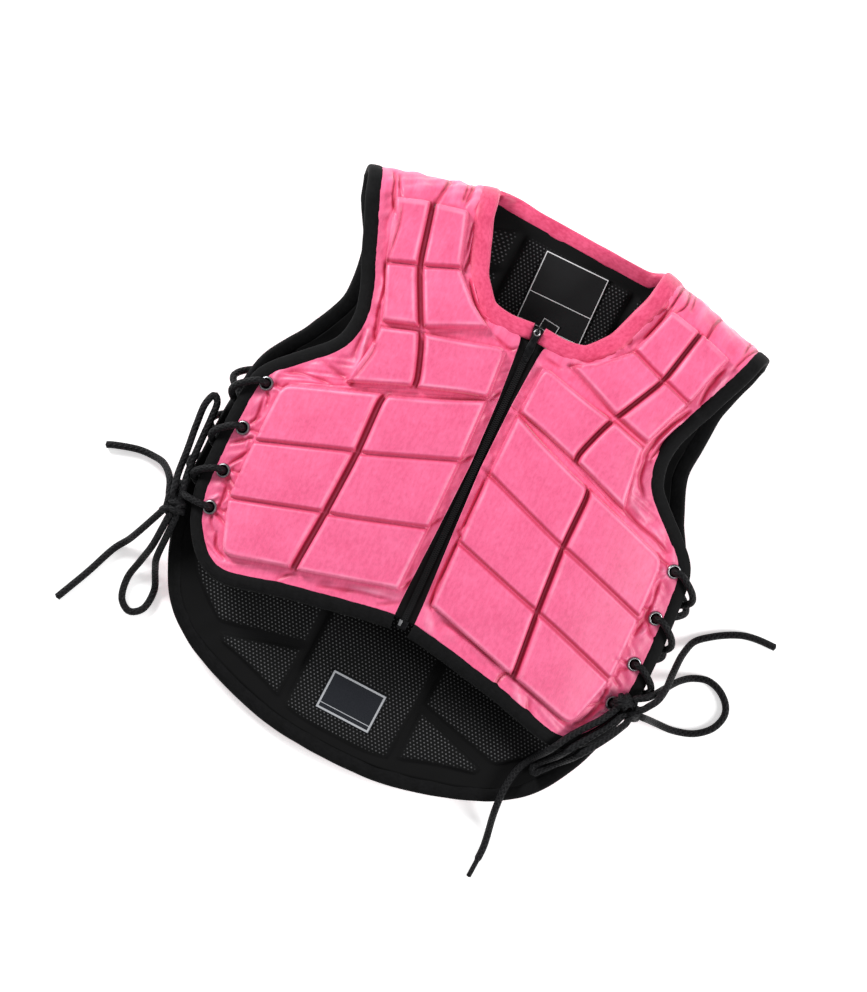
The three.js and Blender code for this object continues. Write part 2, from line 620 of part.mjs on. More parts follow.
// The slider, with a bridge over it, and the pull that hangs from the bridge on its own pin
const sliderY = zipTop - sliderLong / 2 - 3;
const sliderBottom = chainThick / 2 + gap;
const sliderTop = sliderBottom + sliderThick;
const pinY = sliderY + sliderLong * 0.3;
const ringOut = pinRadius + gap + 0.9; // the pull's ring, round the pin
const pinHeight = sliderTop + gap + ringOut;
{
  const body = toManifold(blockOnZip(sliderWide, sliderLong, sliderThick, sliderY, sliderBottom));
  const reach = pinHeight + pinRadius - sliderTop + 0.4;
  const cheek = (x) => {
    const block = blockOnZip(1.2, bridgeWide + 1.4, reach + 0.3, pinY, sliderTop - 0.3);
    block.translate(x, 0, 0);
    return toManifold(block);
  };
  const away = sliderWide / 2 - 0.6;
  const pin = merged(new THREE.CylinderGeometry(pinRadius, pinRadius, away * 2, 10));
  pin.rotateZ(Math.PI / 2);
  pin.translate(...onMiddle(0, pinY, pinHeight));
  const slider = body.add(cheek(-away)).add(cheek(away)).add(toManifold(pin));
  piece("zip_slider", fromManifold(slider), gunmetal);
}
{
  // the pull's ring is open round the pin, and its blade lies along the chain
  const ringIn = pinRadius + gap;
  const eyeWide = sliderWide - 2.4 - 2 * gap;
  const ring = merged(new THREE.LatheGeometry([
    [ringIn, -eyeWide / 2], [ringOut, -eyeWide / 2], [ringOut, eyeWide / 2], [ringIn, eyeWide / 2],
    [ringIn, -eyeWide / 2]].map(([r, h]) => new THREE.Vector2(r, h)), 8));
  ring.rotateZ(Math.PI / 2);
  ring.translate(...onMiddle(0, pinY, pinHeight));
  const outline = new THREE.Shape();
  const half = pullWide / 2;
  outline.moveTo(-eyeWide / 2, 0);
  outline.lineTo(eyeWide / 2, 0);
  outline.lineTo(half, -pullLong * 0.55);
  outline.lineTo(half, -pullLong + half);
  outline.lineTo(half * 0.6, -pullLong);
  outline.lineTo(-half * 0.6, -pullLong);
  outline.lineTo(-half, -pullLong + half);
  outline.lineTo(-half, -pullLong * 0.55);
  outline.closePath();
  const slot = new THREE.Path();
  slot.absarc(0, -pullLong + half, half * 0.42, 0, Math.PI * 2, false);
  outline.holes.push(slot);
  const blade = merged(new THREE.ExtrudeGeometry(
    outline, { depth: pullThick, bevelEnabled: false, curveSegments: 4 }));
  const [far, near] = [onMiddle(0, pinY - pullLong, 0), onMiddle(0, pinY, 0)];
  blade.translate(0, -ringIn - 0.2, -pullThick / 2);
  blade.rotateX(Math.atan2(near.z - far.z, near.y - far.y));
  blade.translate(...onMiddle(0, pinY, pinHeight));
  piece("zip_pull", fromManifold(toManifold(ring).add(toManifold(blade))), gunmetal);
}
const boxY = zipBottom - boxLong / 2 - gap;
piece("zip_box", blockOnZip(boxWide, boxLong, boxThick, boxY, -chainThick / 2), gunmetal);

// The back, its lining and its edgings
const allBackEyelets = sides.flatMap(({ side }) => backEyelets(side));
const backPanel = clothSheet(
  onBack, back.grid, back.heights, gap / 2, back.keepRows, back.keepColumns);
piece("panel_back", drilled(backPanel, onBack, allBackEyelets), pink);
piece("lining_back", liningSheet(onBack, back, back.keepColumns), mesh);
{
  const last = back.grid.length - 1;
  const rows = back.edgeRows;
  const right = rows.map((j) => back.grid[j].at(-1)).reverse();
  const left = rows.map((j) => back.grid[j][0]);
  const bottom = back.grid[0].slice(1, -1).reverse();
  const round = [...right, ...bottom, ...left];
  const sections = edgingSections(round, (k) => {
    const y = round[k][1];
    const below = 1 - ease(downBack(0.4897), downBack(0.3977), y);
    const laced = below * ease(downBack(0.9034), downBack(0.7655), y);
    return mix(bindingWide, sideBindingWide, laced);
  });
  const armpit = backPoint(backRows.chest[3])[1] + 1;
  const cut = rows.filter((j) => back.grid[j].at(-1)[1] > armpit).length + 1;
  const rightRun = sections.slice(0, cut);
  const leftRun = sections.slice(sections.length - cut);
  const tailRun = sections.slice(cut - 1, sections.length - cut + 1);
  piece("binding_armhole_right", edgingStrip(onBack, drawnIn(rightRun, false, gap), low, high), tape);
  piece("binding_armhole_left", edgingStrip(onBack, drawnIn(leftRun, true, gap), low, high), tape);
  piece("binding_tail", edgingStrip(
    onBack, drawnIn(drawnIn(tailRun, true, gap), false, gap), low, high), tape);
  const neckPath = back.grid[last].slice(3, 14);
  piece("facing_back", edgingStrip(onBack, edgingSections(neckPath, facingWide - 1), low, high), rose);
}

// Eyelet rings
for (const { name, side } of sides) {
  frontEyelets.forEach((eyelet, k) => {
    piece(`eyelet_front_${name}_${k + 1}`, eyeletRing(onFront(side), eyelet), gunmetal);
  });
  backEyelets(side).forEach((eyelet, k) => {
    piece(`eyelet_back_${name}_${k + 1}`, eyeletRing(onBack, eyelet), gunmetal);
  });
}

// Sewn labels on the back's lining
function label(name, { wide, tall, across, down }) {
  const [x, y] = backPoint([across, down]);
  const grid = [-0.5, 0.5].map((v) => [-0.5, 0.5].map((u) => [x + u * wide, y + v * tall]));
  const under = -gap - liningThick - gap;
  const heights = grid.map((row) => row.map(() => under));
  piece(name, clothSheet(onBack, grid, heights, under - labelThick, [0, 1], [0, 1]), patch);
}
label("label_neck", neckLabel);
label("label_tail", tailLabel);

// A round cord along a smooth line through points
const laceRadius = laceDiameter / 2;
function cordAlong(points, stepLong) {
  const curve = new THREE.CatmullRomCurve3(points, false, "centripetal");
  curve.arcLengthDivisions = 800;
  const section = new THREE.Shape();
  for (let k = 0; k < laceSides; k += 1) {
    const angle = (k / laceSides) * Math.PI * 2;
    const corner = [Math.cos(angle) * laceRadius, Math.sin(angle) * laceRadius];
    section[k === 0 ? "moveTo" : "lineTo"](...corner);
  }
  const steps = Math.max(2, Math.round(curve.getLength() / stepLong));
  const extrude = { steps, extrudePath: curve, bevelEnabled: false };
  return merged(new THREE.ExtrudeGeometry(section, extrude));
}

// The lace's way from one eyelet over the laced edge to an eyelet of the other cloth: out from
// the eyelet's middle as a share of the edging's outer side, n off the cloth, and the share of
// the way along the edge
const overEdge = [
  { out: 0, n: 5.5, along: 0 },
  { out: 0.20, n: 8.8, along: 0 },
  { out: 0.52, n: 9, along: 0.1 },
  { out: 0.86, n: 8, along: 0.25 },
  { out: 1.04, n: 4, along: 0.38 },
  { out: 1.03, n: -1, along: 0.48 },
  { out: 0.80, n: -7, along: 0.6 },
];
const intoEyelet = [
  { out: 0.46, n: -10.5, along: 0.75 },
  { out: 0.14, n: -9.3, along: 0.92 },
  { out: 0, n: -4.5, along: 1 },
  { out: 0, n: 0.5, along: 1 },
];

const laceStep = 9;
const beyondEdge = new THREE.Vector3(5, -4, -13); // where the right lace passes the front's edge
// Knots: round lumps as wide, long and high as given, out, down and up from the surface
const knots = {
  left: [
    { out: 1.085, down: 0.981, up: 37.5, wide: 8.2, long: 10.5, high: 6.4 },
    { out: 1.125, down: 0.995, up: 36.5, wide: 4.6, long: 6, high: 4.6 },
  ],
  right: [
    { out: 0.992, down: 0.957, up: 55.5, wide: 8.2, long: 8.2, high: 5.4 },
    { out: 1.046, down: 0.968, up: 51, wide: 6, long: 5, high: 4.6 },
    { out: 1.052, down: 0.990, up: 50, wide: 3, long: 4.4, high: 2.8 },
  ],
};

for (const { name, side } of sides) {
  const clearEdge = edgeGap + sideBindingWide + laceRadius + gap;
  const fronts = frontEyelets.map(([x, y]) => (
    { place: onFront(side), x, y, outward: 1, reach: frontHalfWidth - x + clearEdge }));
  const backs = backEyelets(side).map(([x, y]) => (
    { place: onBack, x, y, outward: side, reach: backHalfWidth - Math.abs(x) + clearEdge }));
  const at = ({ place, x, y, outward, reach }, { out, n }, offset) => (
    place(x + outward * out * reach, y + offset, n));
  const crossing = (from, to) => [
    ...overEdge.map((entry) => at(from, entry, (to.y - from.y) * entry.along)),
    ...intoEyelet.map((entry) => at(to, entry, (from.y - to.y) * (1 - entry.along)))];
  const chain = (holes) => [
    ...intoEyelet.slice(-2).map((entry) => at(holes[0], entry, 0)),
    ...holes.slice(1).flatMap((hole, k) => crossing(holes[k], hole))];
  const lump = ({ out, down, up }) => {
    const [x, y] = frontPoint([out, down]);
    return new THREE.Vector3(side * x, y, up);
  };
  const [knot, beside] = knots[name].map(lump);
  // two runs from the highest eyelets down to the knot, crossing at each step
  const run = chain([backs[0], fronts[1], backs[2], fronts[3]]);
  const overLast = name === "left" ? 5 : 2;
  run.push(...overEdge.slice(0, overLast).map((entry) => at(fronts[3], entry, 0)), knot);
  const otherRun = chain([fronts[0], backs[1], fronts[2], backs[3]]);
  otherRun.push(...overEdge.slice(0, 6).map((entry) => at(backs[3], entry, 0)));
  otherRun.push(...(name === "left" ? [knot] : [beside.clone().add(beyondEdge), beside]));
  const lumps = knots[name].map((entry) => {
    const ball = new THREE.SphereGeometry(1, 8, 5);
    ball.scale(entry.wide, entry.long, entry.high);
    ball.translate(...lump(entry));
    return toManifold(merged(ball));
  });
  const line = cordAlong([...run.reverse(), ...otherRun], laceStep);
  const lacing = lumps.reduce((body, ball) => body.add(ball), toManifold(line));
  piece(`lacing_${name}`, fromManifold(lacing), cord);
}

// The bows' loops and the laces' ends, from the knots down to the table: shares of the front's
// half width to the photo's right of the zip, shares of its length down from the shoulder line,
// and millimetres up to the cord's middle
const onTable = laceRadius + 0.02;
const freeCords = {
  bow_left_up: [
    [-1.125, 0.948, 39], [-1.138, 0.914, 37], [-1.146, 0.850, 35.5], [-1.156, 0.788, 35],
    [-1.158, 0.731, 35], [-1.138, 0.706, 35], [-1.116, 0.718, 35], [-1.110, 0.756, 35.5],
    [-1.109, 0.809, 36], [-1.106, 0.877, 36.5], [-1.096, 0.925, 38.5], [-1.088, 0.944, 39.5]],
  bow_left_down: [
    [-1.100, 1.0135, 37], [-1.104, 1.045, 34], [-1.112, 1.088, 27], [-1.135, 1.135, 10],
    [-1.158, 1.188, onTable], [-1.140, 1.238, onTable], [-1.091, 1.256, onTable],
    [-1.042, 1.238, onTable], [-1.030, 1.188, onTable], [-1.060, 1.142, 13],
    [-1.074, 1.112, 27], [-1.072, 1.055, 34], [-1.070, 1.0145, 37]],
  bow_right_out: [
    [1.046, 0.935, 54.5], [1.078, 0.924, 54], [1.108, 0.906, 45.5], [1.139, 0.888, 24],
    [1.190, 0.857, 8], [1.233, 0.841, onTable], [1.297, 0.831, onTable], [1.361, 0.841, onTable],
    [1.412, 0.867, onTable], [1.425, 0.892, onTable], [1.403, 0.928, onTable],
    [1.340, 0.958, onTable], [1.255, 0.972, 5], [1.169, 0.973, 17], [1.120, 0.972, 35],
    [1.098, 0.972, 46]],
  bow_right_down: [
    [1.034, 1.008, 52.5], [1.006, 1.038, 53.5], [0.955, 1.082, 55], [0.918, 1.110, 55],
    [0.890, 1.130, 47], [0.866, 1.146, 34], [0.838, 1.163, 26.5], [0.800, 1.187, 24],
    [0.779, 1.200, 23.5], [0.765, 1.191, 23.5], [0.781, 1.173, 25], [0.812, 1.153, 32],
    [0.832, 1.140, 44], [0.858, 1.118, 56], [0.895, 1.088, 56], [0.930, 1.060, 55],
    [0.973, 1.024, 53], [0.998, 0.998, 52.5]],
  end_left_up: [
    [-1.139, 0.961, 36], [-1.163, 0.930, 31], [-1.219, 0.903, 16], [-1.276, 0.898, 6],
    [-1.345, 0.899, onTable], [-1.452, 0.914, onTable], [-1.480, 0.920, onTable]],
  end_left_down: [
    [-1.141, 1.013, 35], [-1.165, 1.042, 29], [-1.200, 1.082, 18], [-1.223, 1.104, 8],
    [-1.262, 1.135, onTable], [-1.324, 1.213, onTable], [-1.398, 1.297, onTable]],
  end_right_up: [
    [1.092, 0.946, 55], [1.120, 0.922, 55.5], [1.135, 0.888, 47], [1.139, 0.850, 31],
    [1.149, 0.797, 13], [1.176, 0.759, onTable], [1.233, 0.733, onTable],
    [1.297, 0.712, onTable], [1.361, 0.698, onTable], [1.425, 0.693, onTable],
    [1.500, 0.693, onTable]],
  end_right_down: [
    [0.960, 0.996, 54.5], [0.935, 1.018, 56], [0.888, 1.050, 57], [0.840, 1.086, 57.5],
    [0.812, 1.112, 59], [0.793, 1.130, 56], [0.774, 1.147, 42], [0.757, 1.161, 30],
    [0.738, 1.178, 23],
    [0.711, 1.206, 20.4], [0.697, 1.242, 20], [0.692, 1.276, 20], [0.695, 1.316, 18.6],
    [0.703, 1.348, 11], [0.713, 1.378, 4], [0.720, 1.410, onTable],
    [0.719, 1.444, onTable], [0.714, 1.489, onTable]],
};
const freeStep = laceDiameter * 3;
for (const [name, line] of Object.entries(freeCords)) {
  const points = line.map(([out, down, up]) => {
    const [x, y] = frontPoint([out, down]);
    return new THREE.Vector3(x, y, up);
  });
  // no part of a free cord dips under the table
  const smooth = new THREE.CatmullRomCurve3(points, false, "centripetal").getSpacedPoints(60);
  smooth.forEach((point) => point.setZ(Math.max(onTable, point.z)));
  cords.push(piece(name, cordAlong(smooth, freeStep), cord));
}

// The frame's origin is the middle of the vest's box, on the table; the free cords are not counted
const box = new THREE.Box3();
vest.children.filter((child) => !cords.includes(child)).forEach((child) => {
  box.expandByObject(child);
});
const centre = box.getCenter(new THREE.Vector3());
vest.position.set(-centre.x, -centre.y, -box.min.z);

export default vest;
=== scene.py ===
# %% [markdown]
# This lesson dresses a child's padded riding vest. The vest lies on its back on a white table,
# with its front zip closed and its side laces tied in bows. A plain model of every piece is
# loaded first. It is the frame that all the shapes below are fitted to, in metres, with X to the
# right, Y towards the neck and Z up.

# %% Load the frame
import math

import bmesh
import bpy
import numpy as np
from mathutils import Matrix, Vector


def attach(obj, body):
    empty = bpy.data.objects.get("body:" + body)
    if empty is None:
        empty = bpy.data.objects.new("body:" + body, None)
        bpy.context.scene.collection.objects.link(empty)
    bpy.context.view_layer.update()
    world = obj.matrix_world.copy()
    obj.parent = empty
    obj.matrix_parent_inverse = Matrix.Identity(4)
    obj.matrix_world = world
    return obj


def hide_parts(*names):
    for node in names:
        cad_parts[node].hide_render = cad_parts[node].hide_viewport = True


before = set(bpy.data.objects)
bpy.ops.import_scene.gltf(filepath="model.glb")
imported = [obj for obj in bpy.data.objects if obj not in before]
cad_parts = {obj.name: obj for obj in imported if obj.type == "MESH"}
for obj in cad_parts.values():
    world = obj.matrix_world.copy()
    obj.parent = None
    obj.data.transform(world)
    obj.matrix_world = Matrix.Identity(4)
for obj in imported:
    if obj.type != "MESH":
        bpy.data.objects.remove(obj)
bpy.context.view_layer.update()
bpy.ops.object.select_all(action="DESELECT")
MM = 0.001
VEST = "vest"
PULL = "pull"
SHIFT = np.array([4.9603, 14.9669, 0.0])  # from the pattern's zip line to the frame's origin
print("nodes in the frame:", len(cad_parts))

# %% [markdown]
# The camera comes first, because the laces are checked against what it sees. It looks straight
# down from far away, so that near and far pieces keep their sizes, and it is turned so that the
# vest leans to the right in the picture.

# %% Camera
PICTURE = (867, 992)
PIXEL = 0.75 * MM  # one pixel on the vest's front
TURN = math.radians(24.8)
middle = Vector((-0.0142, -0.0080, 0.045))
distance = 4.0
camera_data = bpy.data.cameras.new("camera")
camera = bpy.data.objects.new("camera", camera_data)
bpy.context.scene.collection.objects.link(camera)
camera_data.sensor_fit = "VERTICAL"
camera_data.sensor_height = 24
camera_data.lens = 24 * distance / (PICTURE[1] * PIXEL)
camera_data.clip_end = 20
camera.location = middle + Vector((0, 0, distance))
camera.rotation_euler = (0, 0, TURN)
bpy.context.scene.camera = camera
print("lens", round(camera_data.lens, 1), "mm")

# %% [markdown]
# The table is a plain pale sheet, lit a little from within as a photographer's light table is, so
# that shadows stay faint. Two wide soft lamps and a bright surrounding give the even light of a
# product photo, a little stronger from the upper left.

# %% Table and light
bpy.ops.mesh.primitive_plane_add(size=6, location=(0, 0, -0.0002))
table = bpy.context.active_object
table.name = "table"
table_material = bpy.data.materials.new("table_white")
table_material.use_nodes = True
table_shader = table_material.node_tree.nodes["Principled BSDF"]
table_shader.inputs["Base Color"].default_value = (0.96, 0.96, 0.96, 1)
table_shader.inputs["Roughness"].default_value = 0.9
table_shader.inputs["Emission Color"].default_value = (1, 1, 1, 1)
table_shader.inputs["Emission Strength"].default_value = 0.46
table.data.materials.append(table_material)
world = bpy.data.worlds.new("bright_room")
world.use_nodes = True
world.node_tree.nodes["Background"].inputs["Color"].default_value = (1, 1, 1, 1)
world.node_tree.nodes["Background"].inputs["Strength"].default_value = 0.36
bpy.context.scene.world = world
bpy.context.scene.view_settings.view_transform = "Standard"
bpy.context.scene.view_settings.look = "None"


def soft_lamp(name, place, size, watts):
    lamp = bpy.data.lights.new(name, "AREA")
    lamp.size = size
    lamp.energy = watts
    holder = bpy.data.objects.new(name, lamp)
    bpy.context.scene.collection.objects.link(holder)
    holder.location = place
    aim = Vector((0, 0, 0)) - Vector(place)
    holder.rotation_euler = aim.to_track_quat("-Z", "Y").to_euler()


soft_lamp("lamp_key", (-2.0, 1.1, 1.35), 0.7, 66)
soft_lamp("lamp_fill", (1.9, 0.1, 1.35), 0.8, 36)

# %% [markdown]
# Cloth, cords and edgings all follow lines. These helpers smooth a line through a few points,
# and walk along it in equal steps.


# %% Lines
def curve_through(points, count):
    """A smooth line through points, as count points in equal steps."""
    points = np.asarray(points, float)
    ends = [2 * points[0] - points[1], 2 * points[-1] - points[-2]]
    padded = np.vstack([ends[0], points, ends[1]])
    knots = np.concatenate([[0], np.cumsum(np.linalg.norm(np.diff(padded, axis=0), axis=1) ** 0.5)])
    line = []
    for k in range(1, len(padded) - 2):
        t0, t1, t2, t3 = knots[k - 1:k + 3]
        p0, p1, p2, p3 = padded[k - 1:k + 3]
        for t in np.linspace(t1, t2, 16, endpoint=False):
            a1 = p0 * (t1 - t) / (t1 - t0) + p1 * (t - t0) / (t1 - t0)
            a2 = p1 * (t2 - t) / (t2 - t1) + p2 * (t - t1) / (t2 - t1)
            a3 = p2 * (t3 - t) / (t3 - t2) + p3 * (t - t2) / (t3 - t2)
            b1 = a1 * (t2 - t) / (t2 - t0) + a2 * (t - t0) / (t2 - t0)
            b2 = a2 * (t3 - t) / (t3 - t1) + a3 * (t - t1) / (t3 - t1)
            line.append(b1 * (t2 - t) / (t2 - t1) + b2 * (t - t1) / (t2 - t1))
    line.append(points[-1])
    return resample(np.array(line), count)


def lengths_along(line):
    return np.concatenate([[0], np.cumsum(np.linalg.norm(np.diff(line, axis=0), axis=1))])


def resample(line, count):
    run = lengths_along(line)
    steps = np.linspace(0, run[-1], count)
    return np.stack([np.interp(steps, run, line[:, k]) for k in range(line.shape[1])], axis=1)


def ease(start, end, value):
    share = np.clip((value - start) / (end - start), 0, 1)
    return share * share * (3 - 2 * share)


# %% [markdown]
# A finish is made of shader nodes. The same small effects are needed in many finishes: the
# weave of a cloth, a soft mottle of its colour, the braid of a lace. Each is a node group, so
# that every finish can place it with its own numbers.

# %% Node helpers
def node_group(name, inputs, outputs):
    group = bpy.data.node_groups.new(name, "ShaderNodeTree")
    for label, kind, value in inputs:
        socket = group.interface.new_socket(label, in_out="INPUT", socket_type=kind)
        if value is not None:
            socket.default_value = value
    for label, kind in outputs:
        group.interface.new_socket(label, in_out="OUTPUT", socket_type=kind)
    return group, group.nodes.new("NodeGroupInput"), group.nodes.new("NodeGroupOutput")


def math_node(tree, operation, first, second=None, third=None):
    node = tree.nodes.new("ShaderNodeMath")
    node.operation = operation
    for socket, value in zip(node.inputs, (first, second, third)):
        if value is None:
            continue
        if isinstance(value, (int, float)):
            socket.default_value = value
        else:
            tree.links.new(value, socket)
    return node.outputs[0]

# %% [markdown]
# Three effects are shared. A weave is two waves crossing, one along each way of the threads. A
# mottle is two layers of noise, one of them stretched, as threads catch the light in short
# streaks. A braid is two waves that wind round the cord in opposite ways.


# %% Shared effects
def weave_group():
    """Threads crossing at a pitch in metres, from a flat map: a height and a mask."""
    group, given, result = node_group(
        "weave", [("Map", "NodeSocketVector", None), ("Pitch", "NodeSocketFloat", 0.0006)],
        [("Height", "NodeSocketFloat")])
    split = group.nodes.new("ShaderNodeSeparateXYZ")
    group.links.new(given.outputs["Map"], split.inputs[0])
    turn = math_node(group, "DIVIDE", 2 * math.pi, given.outputs["Pitch"])
    across = math_node(group, "SINE", math_node(group, "MULTIPLY", split.outputs[0], turn))
    along = math_node(group, "SINE", math_node(group, "MULTIPLY", split.outputs[1], turn))
    both = math_node(group, "MULTIPLY", across, along)
    group.links.new(math_node(group, "MULTIPLY_ADD", both, 0.5, 0.5), result.inputs["Height"])
    return group


def mottle_group():
    """Soft patches and short streaks of light and dark, as cloth shows."""
    group, given, result = node_group(
        "mottle", [("Map", "NodeSocketVector", None), ("Patch", "NodeSocketFloat", 60.0),
                   ("Streak", "NodeSocketFloat", 500.0)], [("Value", "NodeSocketFloat")])
    patch = group.nodes.new("ShaderNodeTexNoise")
    patch.inputs["Detail"].default_value = 3
    streak = group.nodes.new("ShaderNodeTexNoise")
    streak.inputs["Detail"].default_value = 2
    stretch = group.nodes.new("ShaderNodeMapping")
    stretch.inputs["Scale"].default_value = (1, 0.3, 1)
    group.links.new(given.outputs["Map"], patch.inputs["Vector"])
    group.links.new(given.outputs["Patch"], patch.inputs["Scale"])
    group.links.new(given.outputs["Map"], stretch.inputs["Vector"])
    group.links.new(stretch.outputs[0], streak.inputs["Vector"])
    group.links.new(given.outputs["Streak"], streak.inputs["Scale"])
    both = math_node(group, "ADD", patch.outputs["Fac"], streak.outputs["Fac"])
    group.links.new(math_node(group, "MULTIPLY", both, 0.5), result.inputs["Value"])
    return group


def braid_group():
    """The plaited strands of a round lace, from a map of length and turn."""
    group, given, result = node_group(
        "braid", [("Map", "NodeSocketVector", None), ("Pitch", "NodeSocketFloat", 0.004)],
        [("Height", "NodeSocketFloat")])
    split = group.nodes.new("ShaderNodeSeparateXYZ")
    group.links.new(given.outputs["Map"], split.inputs[0])
    run = math_node(group, "DIVIDE", split.outputs[0], given.outputs["Pitch"])
    left = math_node(group, "MULTIPLY_ADD", split.outputs[1], 5, run)
    right = math_node(group, "MULTIPLY_ADD", split.outputs[1], -5, run)
    waves = [math_node(group, "SINE", math_node(group, "MULTIPLY", way, 2 * math.pi))
             for way in (left, right)]
    best = math_node(group, "MAXIMUM", *waves)
    group.links.new(math_node(group, "MULTIPLY_ADD", best, 0.5, 0.5), result.inputs["Height"])
    return group


WEAVE = weave_group()
MOTTLE = mottle_group()
BRAID = braid_group()

# %% [markdown]
# Every finish starts from the same shader. Rather than wiring each by hand, a small class adds
# nodes one at a time, which keeps the links easy to read. The shader stays in the material, where
# its plain numbers can be seen.


# %% A finish under construction
class Finish:
    """A material under construction: its nodes, its shader, and the piece's own map."""

    def __init__(self, name, roughness, metallic=0.0, sheen=0.0, shine=0.5):
        self.material = bpy.data.materials.new(name)
        self.material.use_nodes = True
        self.tree = self.material.node_tree
        self.shader = self.tree.nodes["Principled BSDF"]
        self.shader.inputs["Roughness"].default_value = roughness
        self.shader.inputs["Metallic"].default_value = metallic
        self.shader.inputs["Sheen Weight"].default_value = sheen
        self.shader.inputs["Sheen Roughness"].default_value = 0.4
        self.shader.inputs["Specular IOR Level"].default_value = shine

    def node(self, kind, **values):
        node = self.tree.nodes.new(kind)
        for label, value in values.items():
            node.inputs[label.replace("_", " ")].default_value = value
        return node

    def link(self, start, end):
        self.tree.links.new(start, end)

    def group(self, tree, source, **values):
        node = self.tree.nodes.new("ShaderNodeGroup")
        node.node_tree = tree
        self.link(source, node.inputs["Map"])
        for label, value in values.items():
            node.inputs[label].default_value = value
        return node.outputs[0]

    def flat_map(self):
        node = self.tree.nodes.new("ShaderNodeUVMap")
        node.uv_map = "cloth"
        return node.outputs[0]

    def object_map(self):
        return self.tree.nodes.new("ShaderNodeTexCoord").outputs["Object"]

    def colours(self, factor, stops):
        node = self.tree.nodes.new("ShaderNodeValToRGB")
        ramp = node.color_ramp
        for k, (place, colour) in enumerate(stops):
            stop = ramp.elements[k] if k < 2 else ramp.elements.new(place)
            stop.position = place
            stop.color = (*colour, 1)
        self.link(factor, node.inputs["Fac"])
        return node.outputs["Color"]

    def mixed(self, factor, first, second, how="MIX"):
        node = self.tree.nodes.new("ShaderNodeMix")
        node.data_type = "RGBA"
        node.blend_type = how
        for socket, value in ((node.inputs[0], factor), (node.inputs[6], first),
                              (node.inputs[7], second)):
            if isinstance(value, tuple):
                socket.default_value = (*value, 1)
            elif isinstance(value, (int, float)):
                socket.default_value = value
            else:
                self.link(value, socket)
        return node.outputs[2]

    def attribute(self, name):
        node = self.tree.nodes.new("ShaderNodeAttribute")
        node.attribute_name = name
        return node.outputs["Fac"]

    def bump(self, height, strength, depth, before=None):
        node = self.node("ShaderNodeBump", Strength=strength, Distance=depth)
        self.link(height, node.inputs["Height"])
        if before is not None:
            self.link(before, node.inputs["Normal"])
        self.link(node.outputs[0], self.shader.inputs["Normal"])
        return node.outputs[0]

    def colour(self, source):
        self.link(source, self.shader.inputs["Base Color"])

    def rough(self, factor, low, high):
        spread = self.node("ShaderNodeMapRange", To_Min=low, To_Max=high)
        self.link(factor, spread.inputs["Value"])
        self.link(spread.outputs[0], self.shader.inputs["Roughness"])
